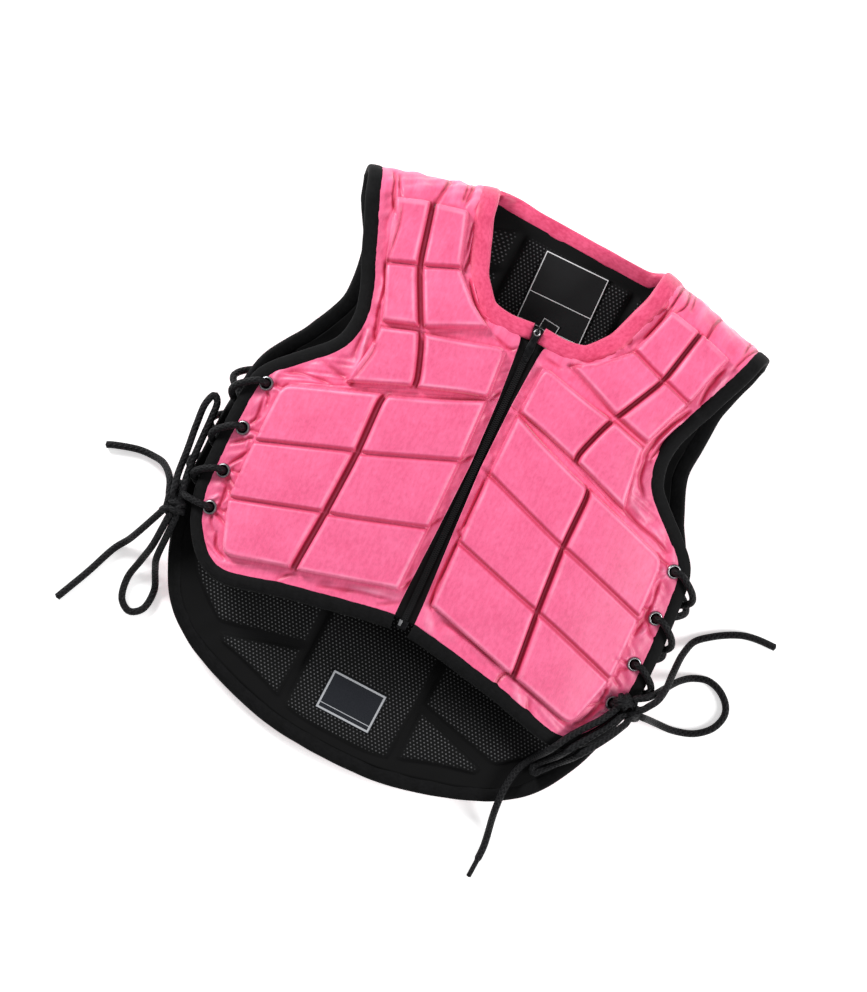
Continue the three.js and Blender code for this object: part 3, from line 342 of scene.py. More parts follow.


# %% [markdown]
# The laces are round braided cords.
# Their routes are the same as the plain model's: a share of the front's half width out from the
# zip, a share of the front's length down from the shoulder line, and millimetres up.

# %% Lace routes
FRONT_WIDE = 176.0
FRONT_LONG = 320.0
SHOULDER = 203.0
LACE = 5.5  # the lace's diameter
ON_TABLE = LACE / 2 + 0.02
ROUTES = {
    "bow_left_up": [
        (-1.125, 0.948, 39), (-1.138, 0.914, 37), (-1.146, 0.850, 35.5), (-1.156, 0.788, 35),
        (-1.158, 0.731, 35), (-1.138, 0.706, 35), (-1.116, 0.718, 35), (-1.110, 0.756, 35.5),
        (-1.109, 0.809, 36), (-1.106, 0.877, 36.5), (-1.096, 0.925, 38.5), (-1.088, 0.944, 39.5)],
    "bow_left_down": [
        (-1.100, 1.0135, 37), (-1.104, 1.045, 34), (-1.112, 1.088, 27), (-1.135, 1.135, 10),
        (-1.158, 1.188, ON_TABLE), (-1.140, 1.238, ON_TABLE), (-1.091, 1.256, ON_TABLE),
        (-1.042, 1.238, ON_TABLE), (-1.030, 1.188, ON_TABLE), (-1.060, 1.142, 13),
        (-1.074, 1.112, 27), (-1.072, 1.055, 34), (-1.070, 1.0145, 37)],
    "bow_right_out": [
        (1.046, 0.935, 54.5), (1.078, 0.924, 54), (1.108, 0.906, 45.5), (1.139, 0.888, 24),
        (1.190, 0.857, 8), (1.233, 0.841, ON_TABLE), (1.297, 0.831, ON_TABLE),
        (1.361, 0.841, ON_TABLE), (1.412, 0.867, ON_TABLE), (1.425, 0.892, ON_TABLE),
        (1.403, 0.928, ON_TABLE), (1.340, 0.958, ON_TABLE), (1.255, 0.972, 5),
        (1.169, 0.973, 17), (1.120, 0.972, 35), (1.098, 0.972, 46)],
    "bow_right_down": [
        (1.034, 1.008, 52.5), (1.006, 1.038, 53.5), (0.955, 1.082, 55), (0.918, 1.110, 55),
        (0.890, 1.130, 47), (0.866, 1.146, 34), (0.838, 1.163, 26.5), (0.800, 1.187, 24),
        (0.779, 1.200, 23.5), (0.765, 1.191, 23.5), (0.781, 1.173, 25), (0.812, 1.153, 32),
        (0.832, 1.140, 44), (0.858, 1.118, 56), (0.895, 1.088, 56), (0.930, 1.060, 55),
        (0.973, 1.024, 53), (0.998, 0.998, 52.5)],
    "end_left_up": [
        (-1.139, 0.961, 36), (-1.163, 0.930, 31), (-1.219, 0.903, 16), (-1.276, 0.898, 6),
        (-1.345, 0.899, ON_TABLE), (-1.452, 0.914, ON_TABLE), (-1.480, 0.920, ON_TABLE)],
    "end_left_down": [
        (-1.141, 1.013, 35), (-1.165, 1.042, 29), (-1.200, 1.082, 18), (-1.223, 1.104, 8),
        (-1.262, 1.135, ON_TABLE), (-1.324, 1.213, ON_TABLE), (-1.398, 1.297, ON_TABLE)],
    "end_right_up": [
        (1.092, 0.946, 55), (1.120, 0.922, 55.5), (1.135, 0.888, 47), (1.139, 0.850, 31),
        (1.149, 0.797, 13), (1.176, 0.759, ON_TABLE), (1.233, 0.733, ON_TABLE),
        (1.297, 0.712, ON_TABLE), (1.361, 0.698, ON_TABLE), (1.425, 0.693, ON_TABLE),
        (1.500, 0.693, ON_TABLE)],
    "end_right_down": [
        (0.960, 0.996, 54.5), (0.935, 1.018, 56), (0.888, 1.050, 57), (0.840, 1.086, 57.5),
        (0.812, 1.112, 59), (0.793, 1.130, 56), (0.774, 1.147, 42), (0.757, 1.161, 30),
        (0.738, 1.178, 23), (0.711, 1.206, 20.4), (0.697, 1.242, 20), (0.692, 1.276, 20),
        (0.695, 1.316, 18.6), (0.703, 1.348, 11), (0.713, 1.378, 4), (0.720, 1.410, ON_TABLE),
        (0.719, 1.444, ON_TABLE), (0.714, 1.489, ON_TABLE)],
}


def route_points(route, count=90):
    table_points = np.array(
        [(out * FRONT_WIDE, SHOULDER - down * FRONT_LONG, up) for out, down, up in route])
    line = curve_through(table_points, count)
    line[:, 2] = np.maximum(line[:, 2], ON_TABLE)
    return (line + SHIFT) * MM

# %% [markdown]
# A lace is black, but its plaited strands catch some light on their crowns. The braid group
# gives the colour and the bump, and fine noise on top stands for loose fibres.

# %% Lace finish
lace = Finish("black_lace", 0.62, shine=0.16)
braid = lace.group(BRAID, lace.flat_map(), Pitch=0.0042)
fuzz = lace.group(MOTTLE, lace.object_map(), Patch=700.0, Streak=2600.0)
lace.colour(lace.mixed(fuzz, lace.colours(braid, [
    (0.25, (0.0012, 0.0012, 0.0014)), (0.9, (0.006, 0.006, 0.007))]), (0.007, 0.007, 0.008)))
lace.rough(braid, 0.75, 0.5)
lace.bump(braid, 0.9, 0.0006)

# %% [markdown]
# A cord is a ring of points carried along its line. The ring is turned as little as possible
# from step to step, so that the braid stays straight, and its map runs along and round the cord.

# %% Tubes
def mesh_piece(name, vertices, faces, material, uv=None, smooth=True, heights=None):
    """A new mesh piece in the frame, with its flat map and an attribute if they are given."""
    data = bpy.data.meshes.new(name)
    data.from_pydata([tuple(v) for v in vertices], [], [tuple(f) for f in faces])
    data.materials.append(material.material)
    data.polygons.foreach_set("use_smooth", [smooth] * len(data.polygons))
    corner = np.empty(len(data.loops), int)
    data.loops.foreach_get("vertex_index", corner)
    if uv is not None:
        layer = data.uv_layers.new(name="cloth")
        per_corner = np.asarray(uv)[corner] if len(uv) == len(vertices) else np.asarray(uv)
        layer.data.foreach_set("uv", per_corner.ravel())
    # Here heights carries the satin's painted shade and highlight, and the lining's distance into its
    # pads, kept as an attribute.
    if heights is not None:
        layer = data.attributes.new("painted_light_and_pad_inset", "FLOAT", "POINT")
        layer.data.foreach_set("value", np.asarray(heights, float))
    data.update()
    piece = bpy.data.objects.new(name, data)
    bpy.context.scene.collection.objects.link(piece)
    return piece


def tube(name, line, radius, material, sides=14):
    """A round cord along a line, with a map of its length and turn."""
    line = np.asarray(line, float)
    count = len(line)
    radii = np.broadcast_to(np.asarray(radius, float), (count,)).copy()
    along = np.gradient(line, axis=0)
    along /= np.linalg.norm(along, axis=1)[:, None]
    normal = np.cross(along[0], (0.3, 0.2, 1.0))
    normal /= np.linalg.norm(normal)
    run = lengths_along(line)
    rings = []
    turns = np.linspace(0, 2 * math.pi, sides + 1)
    for k in range(count):
        normal = normal - along[k] * normal.dot(along[k])
        normal /= np.linalg.norm(normal)
        side = np.cross(along[k], normal)
        round_it = np.cos(turns)[:, None] * normal + np.sin(turns)[:, None] * side
        ring = line[k] + radii[k] * round_it
        rings.append(ring[:-1])
    vertices = np.vstack(rings + [line[:1] - along[0] * radii[0] * 0.35,
                                  line[-1:] + along[-1] * radii[-1] * 0.35])
    faces, uv = [], []
    for k in range(count - 1):
        for s in range(sides):
            t = (s + 1) % sides
            faces.append((k * sides + s, k * sides + t, (k + 1) * sides + t, (k + 1) * sides + s))
            u, v = s / sides, (s + 1) / sides
            uv += [(run[k], u), (run[k], v), (run[k + 1], v), (run[k + 1], u)]
    first, last = count * sides, count * sides + 1
    for s in range(sides):
        t = (s + 1) % sides
        faces.append((first, t, s))
        uv += [(0, 0)] * 3
        faces.append((last, (count - 1) * sides + s, (count - 1) * sides + t))
        uv += [(0, 0)] * 3
    return mesh_piece(name, vertices, faces, material, uv=uv)

# %% [markdown]
# Each free stretch starts at its knot. Its length is measured along its line and printed.

# %% Free laces
for name, route in ROUTES.items():
    line = route_points(route)
    radius = np.full(len(line), LACE / 2 * MM)
    if name == "end_right_down":
        tip = lengths_along(line)[-1] - lengths_along(line)
        radius = np.where(tip < 0.014, 0.0019, radius)
    cord = tube(f"lace_{name}", line, radius, lace)
    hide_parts(name)
    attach(cord, VEST)
    tuple(line[0])
    float(lengths_along(line)[-1])
    [tuple(p) for p in line]
    print(name, round(lengths_along(line)[-1] * 1000), "mm")

# %% [markdown]
# The vest is sewn from flat patterns and then laid down. Here a pattern point, in millimetres, is
# stood on the swollen front or on the back that lies on the table. The number n is the height
# above the join of the panel and its lining.

# %% How the cloth lies
BACK_WIDE = FRONT_WIDE + 2
BACK_LONG = 435.0
NECK_WIDE = 70.0
SLOPE = 0.27
SHELL = 3.0  # cloth and backing between the tiles
FOAM = 8.0  # how far a tile stands up
FOLD_RADIUS = 29.0
SEAM_TURN = 2.18


def down_front(share):
    return SHOULDER - share * FRONT_LONG


def down_back(share):
    return SHOULDER - share * BACK_LONG


def fold_centre(x):
    return SHOULDER + 3 - SLOPE * (np.abs(x) - NECK_WIDE) - FOLD_RADIUS


SWELL = {-1: 2.0, 1: 5.0}  # how much each half of the front swells between zip and edge


def front_face(x, y):
    inner = FOLD_RADIUS - SHELL
    centre = fold_centre(x)
    top = FOLD_RADIUS + inner
    turn = np.maximum(0, (y - centre) / inner)
    across = (np.abs(x) / FRONT_WIDE) ** 2.4
    body = 46 + 20 * (1 - across) - 5 * ease(down_front(0.634), down_front(1.072), y)
    share = np.clip(np.abs(x) / FRONT_WIDE, 0, 1)
    body = body + np.where(x > 0, SWELL[1], SWELL[-1]) * np.sin(math.pi * share) ** 2
    flat = body + (top - body) * ease(centre - 90, centre, y)
    over = y > centre
    new_y = np.where(over, centre + inner * np.sin(turn), y)
    return np.stack([x, new_y, np.where(over, FOLD_RADIUS + inner * np.cos(turn), flat)], -1)


def back_face(px, py):
    side = np.abs(px) / BACK_WIDE
    curl = np.maximum(0, (side - 0.66) / 0.34) ** 1.6
    chest = 1 - ease(down_back(0.3287), down_back(0.1218), py)
    tail = 1 - 0.5 * ease(down_back(0.7655), down_back(0.9954), py)
    held = ease(down_back(0.26), down_back(0.0989), py) * ease(50, 75, np.abs(px))
    turn = 0.05 * (1 - held)
    x = -1.25 * (1 - held) + px * np.cos(turn) + py * np.sin(turn)
    y = py * np.cos(turn) - px * np.sin(turn)
    thick = SHELL + FOAM
    flat = np.stack([x, y, thick + 12 * curl * chest * tail], -1)
    centre = fold_centre(x)
    strap = ease(50, 75, np.abs(x)) * (y > centre)
    start, end = FOLD_RADIUS - thick, FOLD_RADIUS - SHELL
    around = np.maximum(0, (y - centre) / ((start + end) / 2))
    radius = start + (end - start) * ease(0, math.pi - SEAM_TURN, around)
    lifted = np.stack(
        [x, centre + radius * np.sin(around), FOLD_RADIUS - radius * np.cos(around)], -1)
    return flat + (lifted - flat) * strap[..., None]


def stand(face, x, y, n, facing):
    step = 0.5
    along_x = face(x + step, y) - face(x - step, y)
    along_y = face(x, y + step) - face(x, y - step)
    normal = np.cross(along_x, along_y)
    normal /= np.linalg.norm(normal, axis=-1)[..., None]
    point = face(x, y) + normal * (facing * np.asarray(n))[..., None]
    strap = ease(down_front(0.3844), down_front(0.0719), point[..., 1])
    point[..., 1] -= 4 * strap * point[..., 0] / FRONT_WIDE
    return (point + SHIFT) * MM


def on_front(side):
    def place(x, y, n):
        x, y = np.asarray(x, float), np.asarray(y, float)
        lean = 4.5 * ease(down_front(0.759), down_front(1.041), y) * side * x / FRONT_WIDE
        return stand(front_face, side * x, y - lean, n + 0 * x, 1)
    return place


def on_back(x, y, n):
    x, y = np.asarray(x, float), np.asarray(y, float)
    return stand(back_face, x, y, n + 0 * x, -1)


# %% [markdown]
# Each half of the front is a grid of seams. A row of the table below is one seam line, given at
# five places from the zip outwards. The panel's fine net follows those lines, with its corners
# rounded as a sewn edge's are.

# %% The front's pattern
FRONT_ROWS = {
    "hem": [(0.047, 0.997), (0.080, 0.999), (0.517, 1.045), (0.813, 1.077), (0.892, 1.053)],
    "first": [(0.046, 0.944), (0.074, 0.938), (0.517, 1.006), (0.818, 1.053), (0.955, 1.012)],
    "second": [(0.033, 0.775), (0.069, 0.777), (0.492, 0.848), (0.892, 0.917), (1.000, 0.928)],
    "third": [(0.022, 0.600), (0.066, 0.605), (0.475, 0.688), (0.892, 0.764), (1.000, 0.778)],
    "chest_below": [(0.030, 0.445), (0.071, 0.451), (0.480, 0.533), (0.881, 0.608), (0.983, 0.622)],
    "chest_above": [(0.030, 0.438), (0.074, 0.445), (0.361, 0.500), (0.637, 0.558), (0.910, 0.581)],
    "arm": [(0.039, 0.369), (0.080, 0.378), (0.401, 0.431), (0.620, 0.481), (0.708, 0.481)],
    "neck_below": [(0.046, 0.313), (0.088, 0.317), (0.441, 0.370), (0.600, 0.398), (0.675, 0.406)],
    "neck_corner": [(0.055, 0.279), (0.148, 0.306), (0.449, 0.366), (0.606, 0.393), (0.676, 0.397)],
    "neck_above": [(0.136, 0.283), (0.188, 0.301), (0.455, 0.362), (0.611, 0.388), (0.677, 0.388)],
    "collar": [(0.250, 0.275), (0.290, 0.261), (0.511, 0.300), (0.651, 0.328), (0.702, 0.331)],
    "strap": [(0.355, 0.206), (0.401, 0.205), (0.568, 0.239), (0.708, 0.263), (0.751, 0.266)],
    "shoulder": [(0.440, 0.075), (0.478, 0.075), (0.631, 0.094), (0.787, 0.120), (0.853, 0.131)],
}
FRONT_FOLD = [0.468, 0.491, 0.648, 0.834, 0.903]
CHANNEL = {-1: 3.6, 1: 2.6}  # the long channel is wider on the left half
SEAM = 2.6


def row_of(table, name, wide, long):
    return np.array([(out * wide, SHOULDER - down * long) for out, down in table[name]])


def toward(start, end, distance):
    return start + (end - start) * (distance / np.linalg.norm(end - start))


def six_columns(row, channel):
    """The long channel's point becomes its two sides."""
    half = np.array([channel / 2, 0])
    return np.array([row[0], row[1], row[2] - half, row[2] + half, row[3], row[4]])


def shifted(rows, name, other, distance):
    """A seam's line moved towards another one, to one side of its stitching."""
    low, high = rows[name], rows[other]
    span = np.linalg.norm(high[1:4] - low[1:4], axis=1).max()
    return low + (high - low) * (distance / span)

# %% [markdown]
# Sewn edges have no sharp corners. A line is rounded by averaging it over a short reach. The
# fine net is made of rounded lines, first across the panel and then along it.


# %% Rounded lines and the fine net
def smooth_at(line, reach, shares):
    """Points at shares of a line's length, with its corners rounded over reach."""
    run = lengths_along(line)
    total = run[-1]
    count = max(80, int(total / 0.8))
    fine = resample(line, count)
    step = total / (count - 1)
    width = max(1, int(reach * 2.5 / step))
    weights = np.exp(-0.5 * (np.arange(-width, width + 1) * step / reach) ** 2)
    weights /= weights.sum()
    before = 2 * fine[0] - fine[1:width + 1][::-1]
    after = 2 * fine[-1] - fine[-width - 1:-1][::-1]
    long = np.vstack([before, fine, after])
    smooth = np.stack([np.convolve(long[:, k], weights, "valid") for k in range(2)], 1)
    where = np.asarray(shares) * (count - 1)
    return np.stack([np.interp(where, np.arange(count), smooth[:, k]) for k in range(2)], 1)


def fine_net(lines, column_steps, row_steps, row_reach, column_reach):
    """A fine net through coarse lines: lines[k][c] is line k's point at coarse column c."""
    across = []
    for k, line in enumerate(lines):
        run = lengths_along(line) / lengths_along(line)[-1]
        shares = np.concatenate(
            [np.linspace(run[c], run[c + 1], column_steps[c], endpoint=False)
             for c in range(len(line) - 1)] + [[1.0]])
        across.append(smooth_at(line, row_reach[k], shares))
    across = np.array(across)
    columns = []
    for i in range(across.shape[1]):
        line = across[:, i]
        run = lengths_along(line) / lengths_along(line)[-1]
        shares = np.concatenate(
            [np.linspace(run[k], run[k + 1], row_steps[k], endpoint=False)
             for k in range(len(line) - 1)] + [[1.0]])
        columns.append(smooth_at(line, column_reach(i), shares))
    return np.array(columns).transpose(1, 0, 2)


def steps_for(lines, pitch, pick):
    """How many fine steps each gap between coarse lines needs."""
    spans = np.linalg.norm(np.diff(lines, axis=0), axis=2)[:, pick].max(axis=1)
    return [max(2, int(round(span / pitch))) for span in spans]

# %% [markdown]
# Every row becomes a line, and each cross seam becomes two, one on each side of its stitching.
# Past the shoulder the lines go on round the fold.


# %% The front's seam lines
def front_lines(channel):
    rows = {name: row_of(FRONT_ROWS, name, FRONT_WIDE, FRONT_LONG) for name in FRONT_ROWS}
    six = {name: six_columns(row, channel) for name, row in rows.items()}
    bow = 0.014 * FRONT_LONG * np.array([0, 0.14, 0.12, 0, -1, -0.1])
    hem = six["hem"].copy()
    hem[:, 1] += bow
    named = [("hem", hem), ("first", six["first"])]
    for name, below, above in (("second", "first", "third"), ("third", "second", "chest_below")):
        named.append((f"{name}_low", shifted(six, name, below, SEAM / 2)))
        named.append((f"{name}_high", shifted(six, name, above, SEAM / 2)))
    named += [(name, six[name]) for name in
              ("chest_below", "chest_above", "arm", "neck_below", "neck_corner", "neck_above",
               "collar")]
    named.append(("strap_low", shifted(six, "strap", "collar", SEAM / 2)))
    named.append(("strap_high", shifted(six, "strap", "shoulder", SEAM / 2)))
    named.append(("shoulder", six["shoulder"]))
    inner = FOLD_RADIUS - SHELL
    for turn in (0.3, 0.62, 1.05, math.pi / 2, SEAM_TURN - 0.45 / inner):
        x = rows["shoulder"][:, 0]
        out = x + (np.array(FRONT_FOLD) * FRONT_WIDE - x) * min(1, turn / (math.pi / 2))
        line = np.stack([out, fold_centre(out) + inner * turn], 1)
        named.append((f"fold_{turn:.2f}", six_columns(line, channel)))
    return [name for name, line in named], np.array([line for name, line in named])

# %% [markdown]
# How high the cloth stands depends on how near a point is to a tile's border or to a seam. The
# distances are worked out for all points at once, which is quicker than asking point by point.


# %% Distances
def to_border(points, border):
    """Each point's distance inside a closed border, less than nothing outside it, and how far
    round the border it is nearest."""
    start, end = border, np.roll(border, -1, axis=0)
    way = end - start
    long = np.maximum(np.linalg.norm(way, axis=1), 1e-9)
    run = np.concatenate([[0], np.cumsum(long)[:-1]])
    best = np.full(len(points), 1e9)
    where = np.zeros(len(points))
    inside = np.ones(len(points))
    for a, w, span, s in zip(start, way, long, run):
        off = points - a
        share = np.clip((off @ w) / span ** 2, 0, 1)
        away = np.linalg.norm(off - share[:, None] * w, axis=1)
        closer = away < best
        best[closer] = away[closer]
        where[closer] = s + share[closer] * span
        inside[closer] = np.sign(w[0] * off[closer, 1] - w[1] * off[closer, 0])
    return best * inside, where


def rounded_border(border, corners=()):
    """A closed border with softly rounded corners: each corner is (point, reach)."""
    closed = np.vstack([border, border[:1]])
    count = max(60, int(lengths_along(closed)[-1] / 1.2))
    even = resample(closed, count + 1)[:-1]
    step = lengths_along(closed)[-1] / count

    def softened(reach):
        width = max(1, int(reach * 2.5 / step))
        weights = np.exp(-0.5 * (np.arange(-width, width + 1) * step / reach) ** 2)
        weights /= weights.sum()
        long = np.vstack([even[-width:], even, even[:width]])
        return np.stack([np.convolve(long[:, k], weights, "valid") for k in range(2)], 1)

    result = softened(1.6)
    for corner, reach in corners:
        share = 1 - ease(reach * 2.2, reach * 4, np.linalg.norm(even - corner, axis=1))
        result += (softened(reach) - result) * share[:, None]
    return result

# %% [markdown]
# Ripples and dents are sums of a few waves with seeded random lengths. They are smooth and
# cheap, and the same in every run.


# %% Ripples
def waves(s, lengths, seed):
    """A random ripple along a line: a few waves of the given lengths."""
    random = np.random.default_rng(seed)
    total = 0
    for length in lengths:
        swing = 0.6 + 0.4 * np.sin(2 * math.pi * s / (length * random.uniform(4, 9))
                                   + random.uniform(0, 6.28))
        total = total + swing * np.sin(2 * math.pi * s / length + random.uniform(0, 6.28))
    return total / len(lengths)


def soft_noise(x, y, size, seed, count=10):
    """Soft hills and hollows about size across, between about -1 and 1."""
    random = np.random.default_rng(seed)
    total = 0
    for k in range(count):
        angle = random.uniform(0, 2 * math.pi)
        length = size * random.uniform(0.7, 1.6)
        total = total + np.sin(
            2 * math.pi * (x * math.cos(angle) + y * math.sin(angle)) / length
            + random.uniform(0, 6.28))
    return total / math.sqrt(count)

# %% [markdown]
# The tiles are blocks of foam under the cloth. Each rises steeply from its border, has a slight
# rim and a nearly flat top, and dips where a seam crosses it.


# %% Tiles
def to_line(points, line):
    """Each point's distance to an open line."""
    best = np.full(len(points), 1e9)
    for a, b in zip(line[:-1], line[1:]):
        way = b - a
        share = np.clip(((points - a) @ way) / max(way @ way, 1e-9), 0, 1)
        best = np.minimum(best, np.linalg.norm(points - a - share[:, None] * way, axis=1))
    return best


def outline_of(net, low, high, left, right):
    patch = net[low:high + 1, left:right + 1]
    return np.vstack([patch[0][:-1], patch[:-1, -1], patch[-1, ::-1][:-1], patch[1:, 0][::-1]])


def tile_map(net, tiles, blocks):
    """For each block of tiles: its net indices, and how far its points are from its border and
    from the seams across it. Also how far every point is from the two nearest tiles."""
    points = net.reshape(-1, 2)
    nearest = np.full((2, len(points)), 1e9)
    for tile in tiles:
        away, along = to_border(points, outline_of(net, *tile)[::2])
        nearest = np.sort(np.vstack([nearest, np.abs(away)]), axis=0)[:2]
    found = []
    for low, high, left, right, seams, corners in blocks:
        index = np.zeros(net.shape[:2], bool)
        index[low:high + 1, left:right + 1] = True
        inside = net[index]
        places = [(net[row, column], reach) for row, column, reach in corners]
        border = rounded_border(outline_of(net, low, high, left, right), places)
        away, along = to_border(inside, border)
        seam = np.full(len(inside), 1e9)
        for below, above in seams:
            middle = (net[below, left:right + 1] + net[above, left:right + 1]) / 2
            seam = np.minimum(seam, to_line(inside, middle[::3]))
        found.append((index, inside, np.maximum(away, 0), along, seam))
    return found, nearest.reshape(2, *net.shape[:2])


def raise_tiles(found, heights, seed, border=2.8, rise=FOAM, seam_depth=0.6, seam_wide=1.5):
    """Soft foam tiles under satin: steep rounded sides, a slight rim, a nearly flat top."""
    for number, (index, points, away, along, seam) in enumerate(found):
        mark = seed + number * 31
        x, y = points[:, 0], points[:, 1]
        share = np.clip(away / border, 0, 1)
        body = np.sqrt(1 - (1 - share) ** 2.6)
        crown = 0.8 * (1 - np.exp(-away / 14)) * (1 - np.exp(-seam / 14))
        from_edge = np.minimum(away, seam + 0.9)
        rim = 0.34 * np.exp(-((from_edge - border - 0.3) / 1.1) ** 2)
        pucker = waves(along, (6.1, 8.7, 12.5), mark) * np.exp(-((away - 3.0) / 2.4) ** 2)
        dents = soft_noise(x, y, 46, mark + 13) * ease(3, 14, away)
        dip = 1 - seam_depth * np.exp(-(seam / seam_wide) ** 2)
        heights[index] += rise * body * dip * 0.94 + crown + rim + 0.22 * pucker + 0.3 * dents


def painted_rim_highlight(found, shape, border=2.8):
    """Where a tile's rim is painted lighter: a painted highlight."""
    painted_light_mask = np.zeros(shape)
    for index, points, away, along, seam in found:
        edge = np.minimum(away, seam + 0.9)
        painted_light_mask[index] = np.exp(-((edge - border - 0.2) / 0.95) ** 2)
    return painted_light_mask


# %% [markdown]
# A panel is closed cloth: the fine outer face, a coarser inner face, and walls between them.


# %% Closed cloth
EYELETS = [(0.950, 0.631, 0.4642), (0.962, 0.748, 0.5502), (0.962, 0.862, 0.6341),
           (0.948, 0.960, 0.7062)]
FRONT_HOLES = [(out * FRONT_WIDE, down_front(down)) for out, down, back in EYELETS]
BACK_HOLES = [(BACK_WIDE - 9.4, down_back(back)) for out, down, back in EYELETS]
HOLE_WALL = (3.7, 4.9)  # from a hole's centre to its wall, under the eyelet's rim
PRESSED = (5.2, 7.5)  # where the cloth under the rim is pressed flat


def pierced(net, heights, holes, painted_light_mask):
    """The cloth pressed flat round each hole's centre, and deep inside it, where painted shade makes
    it black.
    """
    for centre in holes:
        away = np.linalg.norm(net - np.array(centre), axis=-1)
        flat = ease(*PRESSED, away)
        heights[:] = SHELL + (heights - SHELL) * flat
        inside = 1 - ease(*HOLE_WALL, away)
        heights[:] = heights + (0.7 - heights) * inside
        painted_light_mask[:] = painted_light_mask + (2 - painted_light_mask) * inside


def cloth_piece(name, place, net, heights, inner, material, painted_light_and_pad_inset=None, backing=None, stride=6):
    """A closed sheet from a net of pattern points and heights, with the pattern as its map."""
    rows, columns = heights.shape
    outer = place(net[..., 0], net[..., 1], heights)
    keep_rows = sorted(set(range(0, rows, stride)) | {rows - 1})
    keep_columns = sorted(set(range(0, columns, stride)) | {columns - 1})
    coarse = net[np.ix_(keep_rows, keep_columns)]
    under = place(coarse[..., 0], coarse[..., 1], np.full(coarse.shape[:2], float(inner)))
    vertices = np.vstack([outer.reshape(-1, 3), under.reshape(-1, 3)])
    uv = np.vstack([net.reshape(-1, 2), coarse.reshape(-1, 2)]) * MM
    top = np.arange(rows * columns).reshape(rows, columns)
    low = rows * columns + np.arange(coarse.shape[0] * coarse.shape[1]).reshape(coarse.shape[:2])

    def quads(grid):
        corners = [grid[:-1, :-1], grid[:-1, 1:], grid[1:, 1:], grid[1:, :-1]]
        return np.stack(corners, -1).reshape(-1, 4)

    faces = quads(top).tolist() + quads(low)[:, ::-1].tolist()

    def wall(fine, few, kept, flip):
        for k in range(len(kept) - 1):
            ring = [few[k], few[k + 1]] + list(fine[kept[k]:kept[k + 1] + 1][::-1])
            faces.append(tuple(ring[::-1] if flip else ring))

    wall(top[0], low[0], keep_columns, False)
    wall(top[-1], low[-1], keep_columns, True)
    wall(top[:, 0], low[:, 0], keep_rows, True)
    wall(top[:, -1], low[:, -1], keep_rows, False)
    # The attribute gives the satin its painted shade and highlight, and the lining its distance into
    # its pads.
    attribute = None
    if painted_light_and_pad_inset is not None:
        attribute = np.concatenate([painted_light_and_pad_inset.ravel(), np.zeros(low.size)])
    piece = mesh_piece(name, vertices, faces, material, uv=uv, heights=attribute)
    if backing is not None:
        piece.data.materials.append(backing.material)
        fine_count = (rows - 1) * (columns - 1)
        for face in piece.data.polygons[fine_count:fine_count + len(quads(low))]:
            face.material_index = 1
    outward(piece)
    return piece


def outward(piece):
    """Turns the piece's faces so that they point out."""
    net = bmesh.new()
    net.from_mesh(piece.data)
    bmesh.ops.recalc_face_normals(net, faces=net.faces)
    if net.calc_volume(signed=True) < 0:
        bmesh.ops.reverse_faces(net, faces=net.faces)
    net.to_mesh(piece.data)
    net.free()

# %% [markdown]
# The outer cloth is pink satin. Its colour wanders between two close pinks, with a fine grain.
# An attribute worked out with the net says where light and shade are painted into the colour: deep
# red as painted shade in a seam, a crease or a tile's foot, paler pink as a painted highlight on a
# tile's rim or a ridge, and black as painted shade inside an eyelet's hole. That is sharper than a
# picture, and needs no file.

# %% Satin finish
def satin_finish(name, high, low, channel, rim):
    satin = Finish(name, 0.42, sheen=0.35)
    flat = satin.flat_map()
    weave = satin.group(WEAVE, flat, Pitch=0.0009)
    patches = satin.group(MOTTLE, flat, Patch=38.0, Streak=420.0)
    grain = satin.group(MOTTLE, flat, Patch=300.0, Streak=1500.0)
    base = satin.colours(patches, [(0.32, low), (0.68, high)])
    speck = satin.colours(grain, [(0.35, (0.90, 0.86, 0.88)), (0.65, (1.06, 1.04, 1.05))])
    base = satin.mixed(1.0, base, speck, "MULTIPLY")
    # Painted light: values below 0 mix in the rim colour as a painted highlight, 0 to 1 mix in the
    # channel colour as painted shade, and above 1.1 turn black as painted shade in a hole.
    painted_light_mask = satin.attribute("painted_light_and_pad_inset")
    lit = math_node(satin.tree, "MULTIPLY", painted_light_mask, -1)
    painted_highlight_amount = satin.node("ShaderNodeMapRange", From_Min=0.0, From_Max=1.0)
    satin.link(lit, painted_highlight_amount.inputs["Value"])
    base = satin.mixed(painted_highlight_amount.outputs[0], base, rim)
    painted_shade_amount = satin.node("ShaderNodeMapRange", From_Min=0.0, From_Max=1.0)
    satin.link(painted_light_mask, painted_shade_amount.inputs["Value"])
    base = satin.mixed(painted_shade_amount.outputs[0], base, channel)
    hole_painted_shade = satin.node("ShaderNodeMapRange", From_Min=1.1, From_Max=1.8)
    satin.link(painted_light_mask, hole_painted_shade.inputs["Value"])
    satin.colour(satin.mixed(hole_painted_shade.outputs[0], base, (0.003, 0.002, 0.002)))
    satin.rough(grain, 0.36, 0.52)
    first = satin.bump(weave, 0.12, 0.0002)
    satin.bump(grain, 0.25, 0.0006, first)
    return satin


def linear(red, green, blue):
    """A screen colour as the light values that shaders use."""
    return tuple(((v / 255 + 0.055) / 1.055) ** 2.4 if v > 10 else v / 255 / 12.92
                 for v in (red, green, blue))


# Its third colour is deep red painted shade for seams and creases, its fourth pale pink painted
# highlight for tile rims and ridges.
pink_satin = satin_finish(
    "pink_satin", linear(248, 112, 156), linear(230, 90, 134), linear(196, 42, 82),
    linear(255, 176, 206))


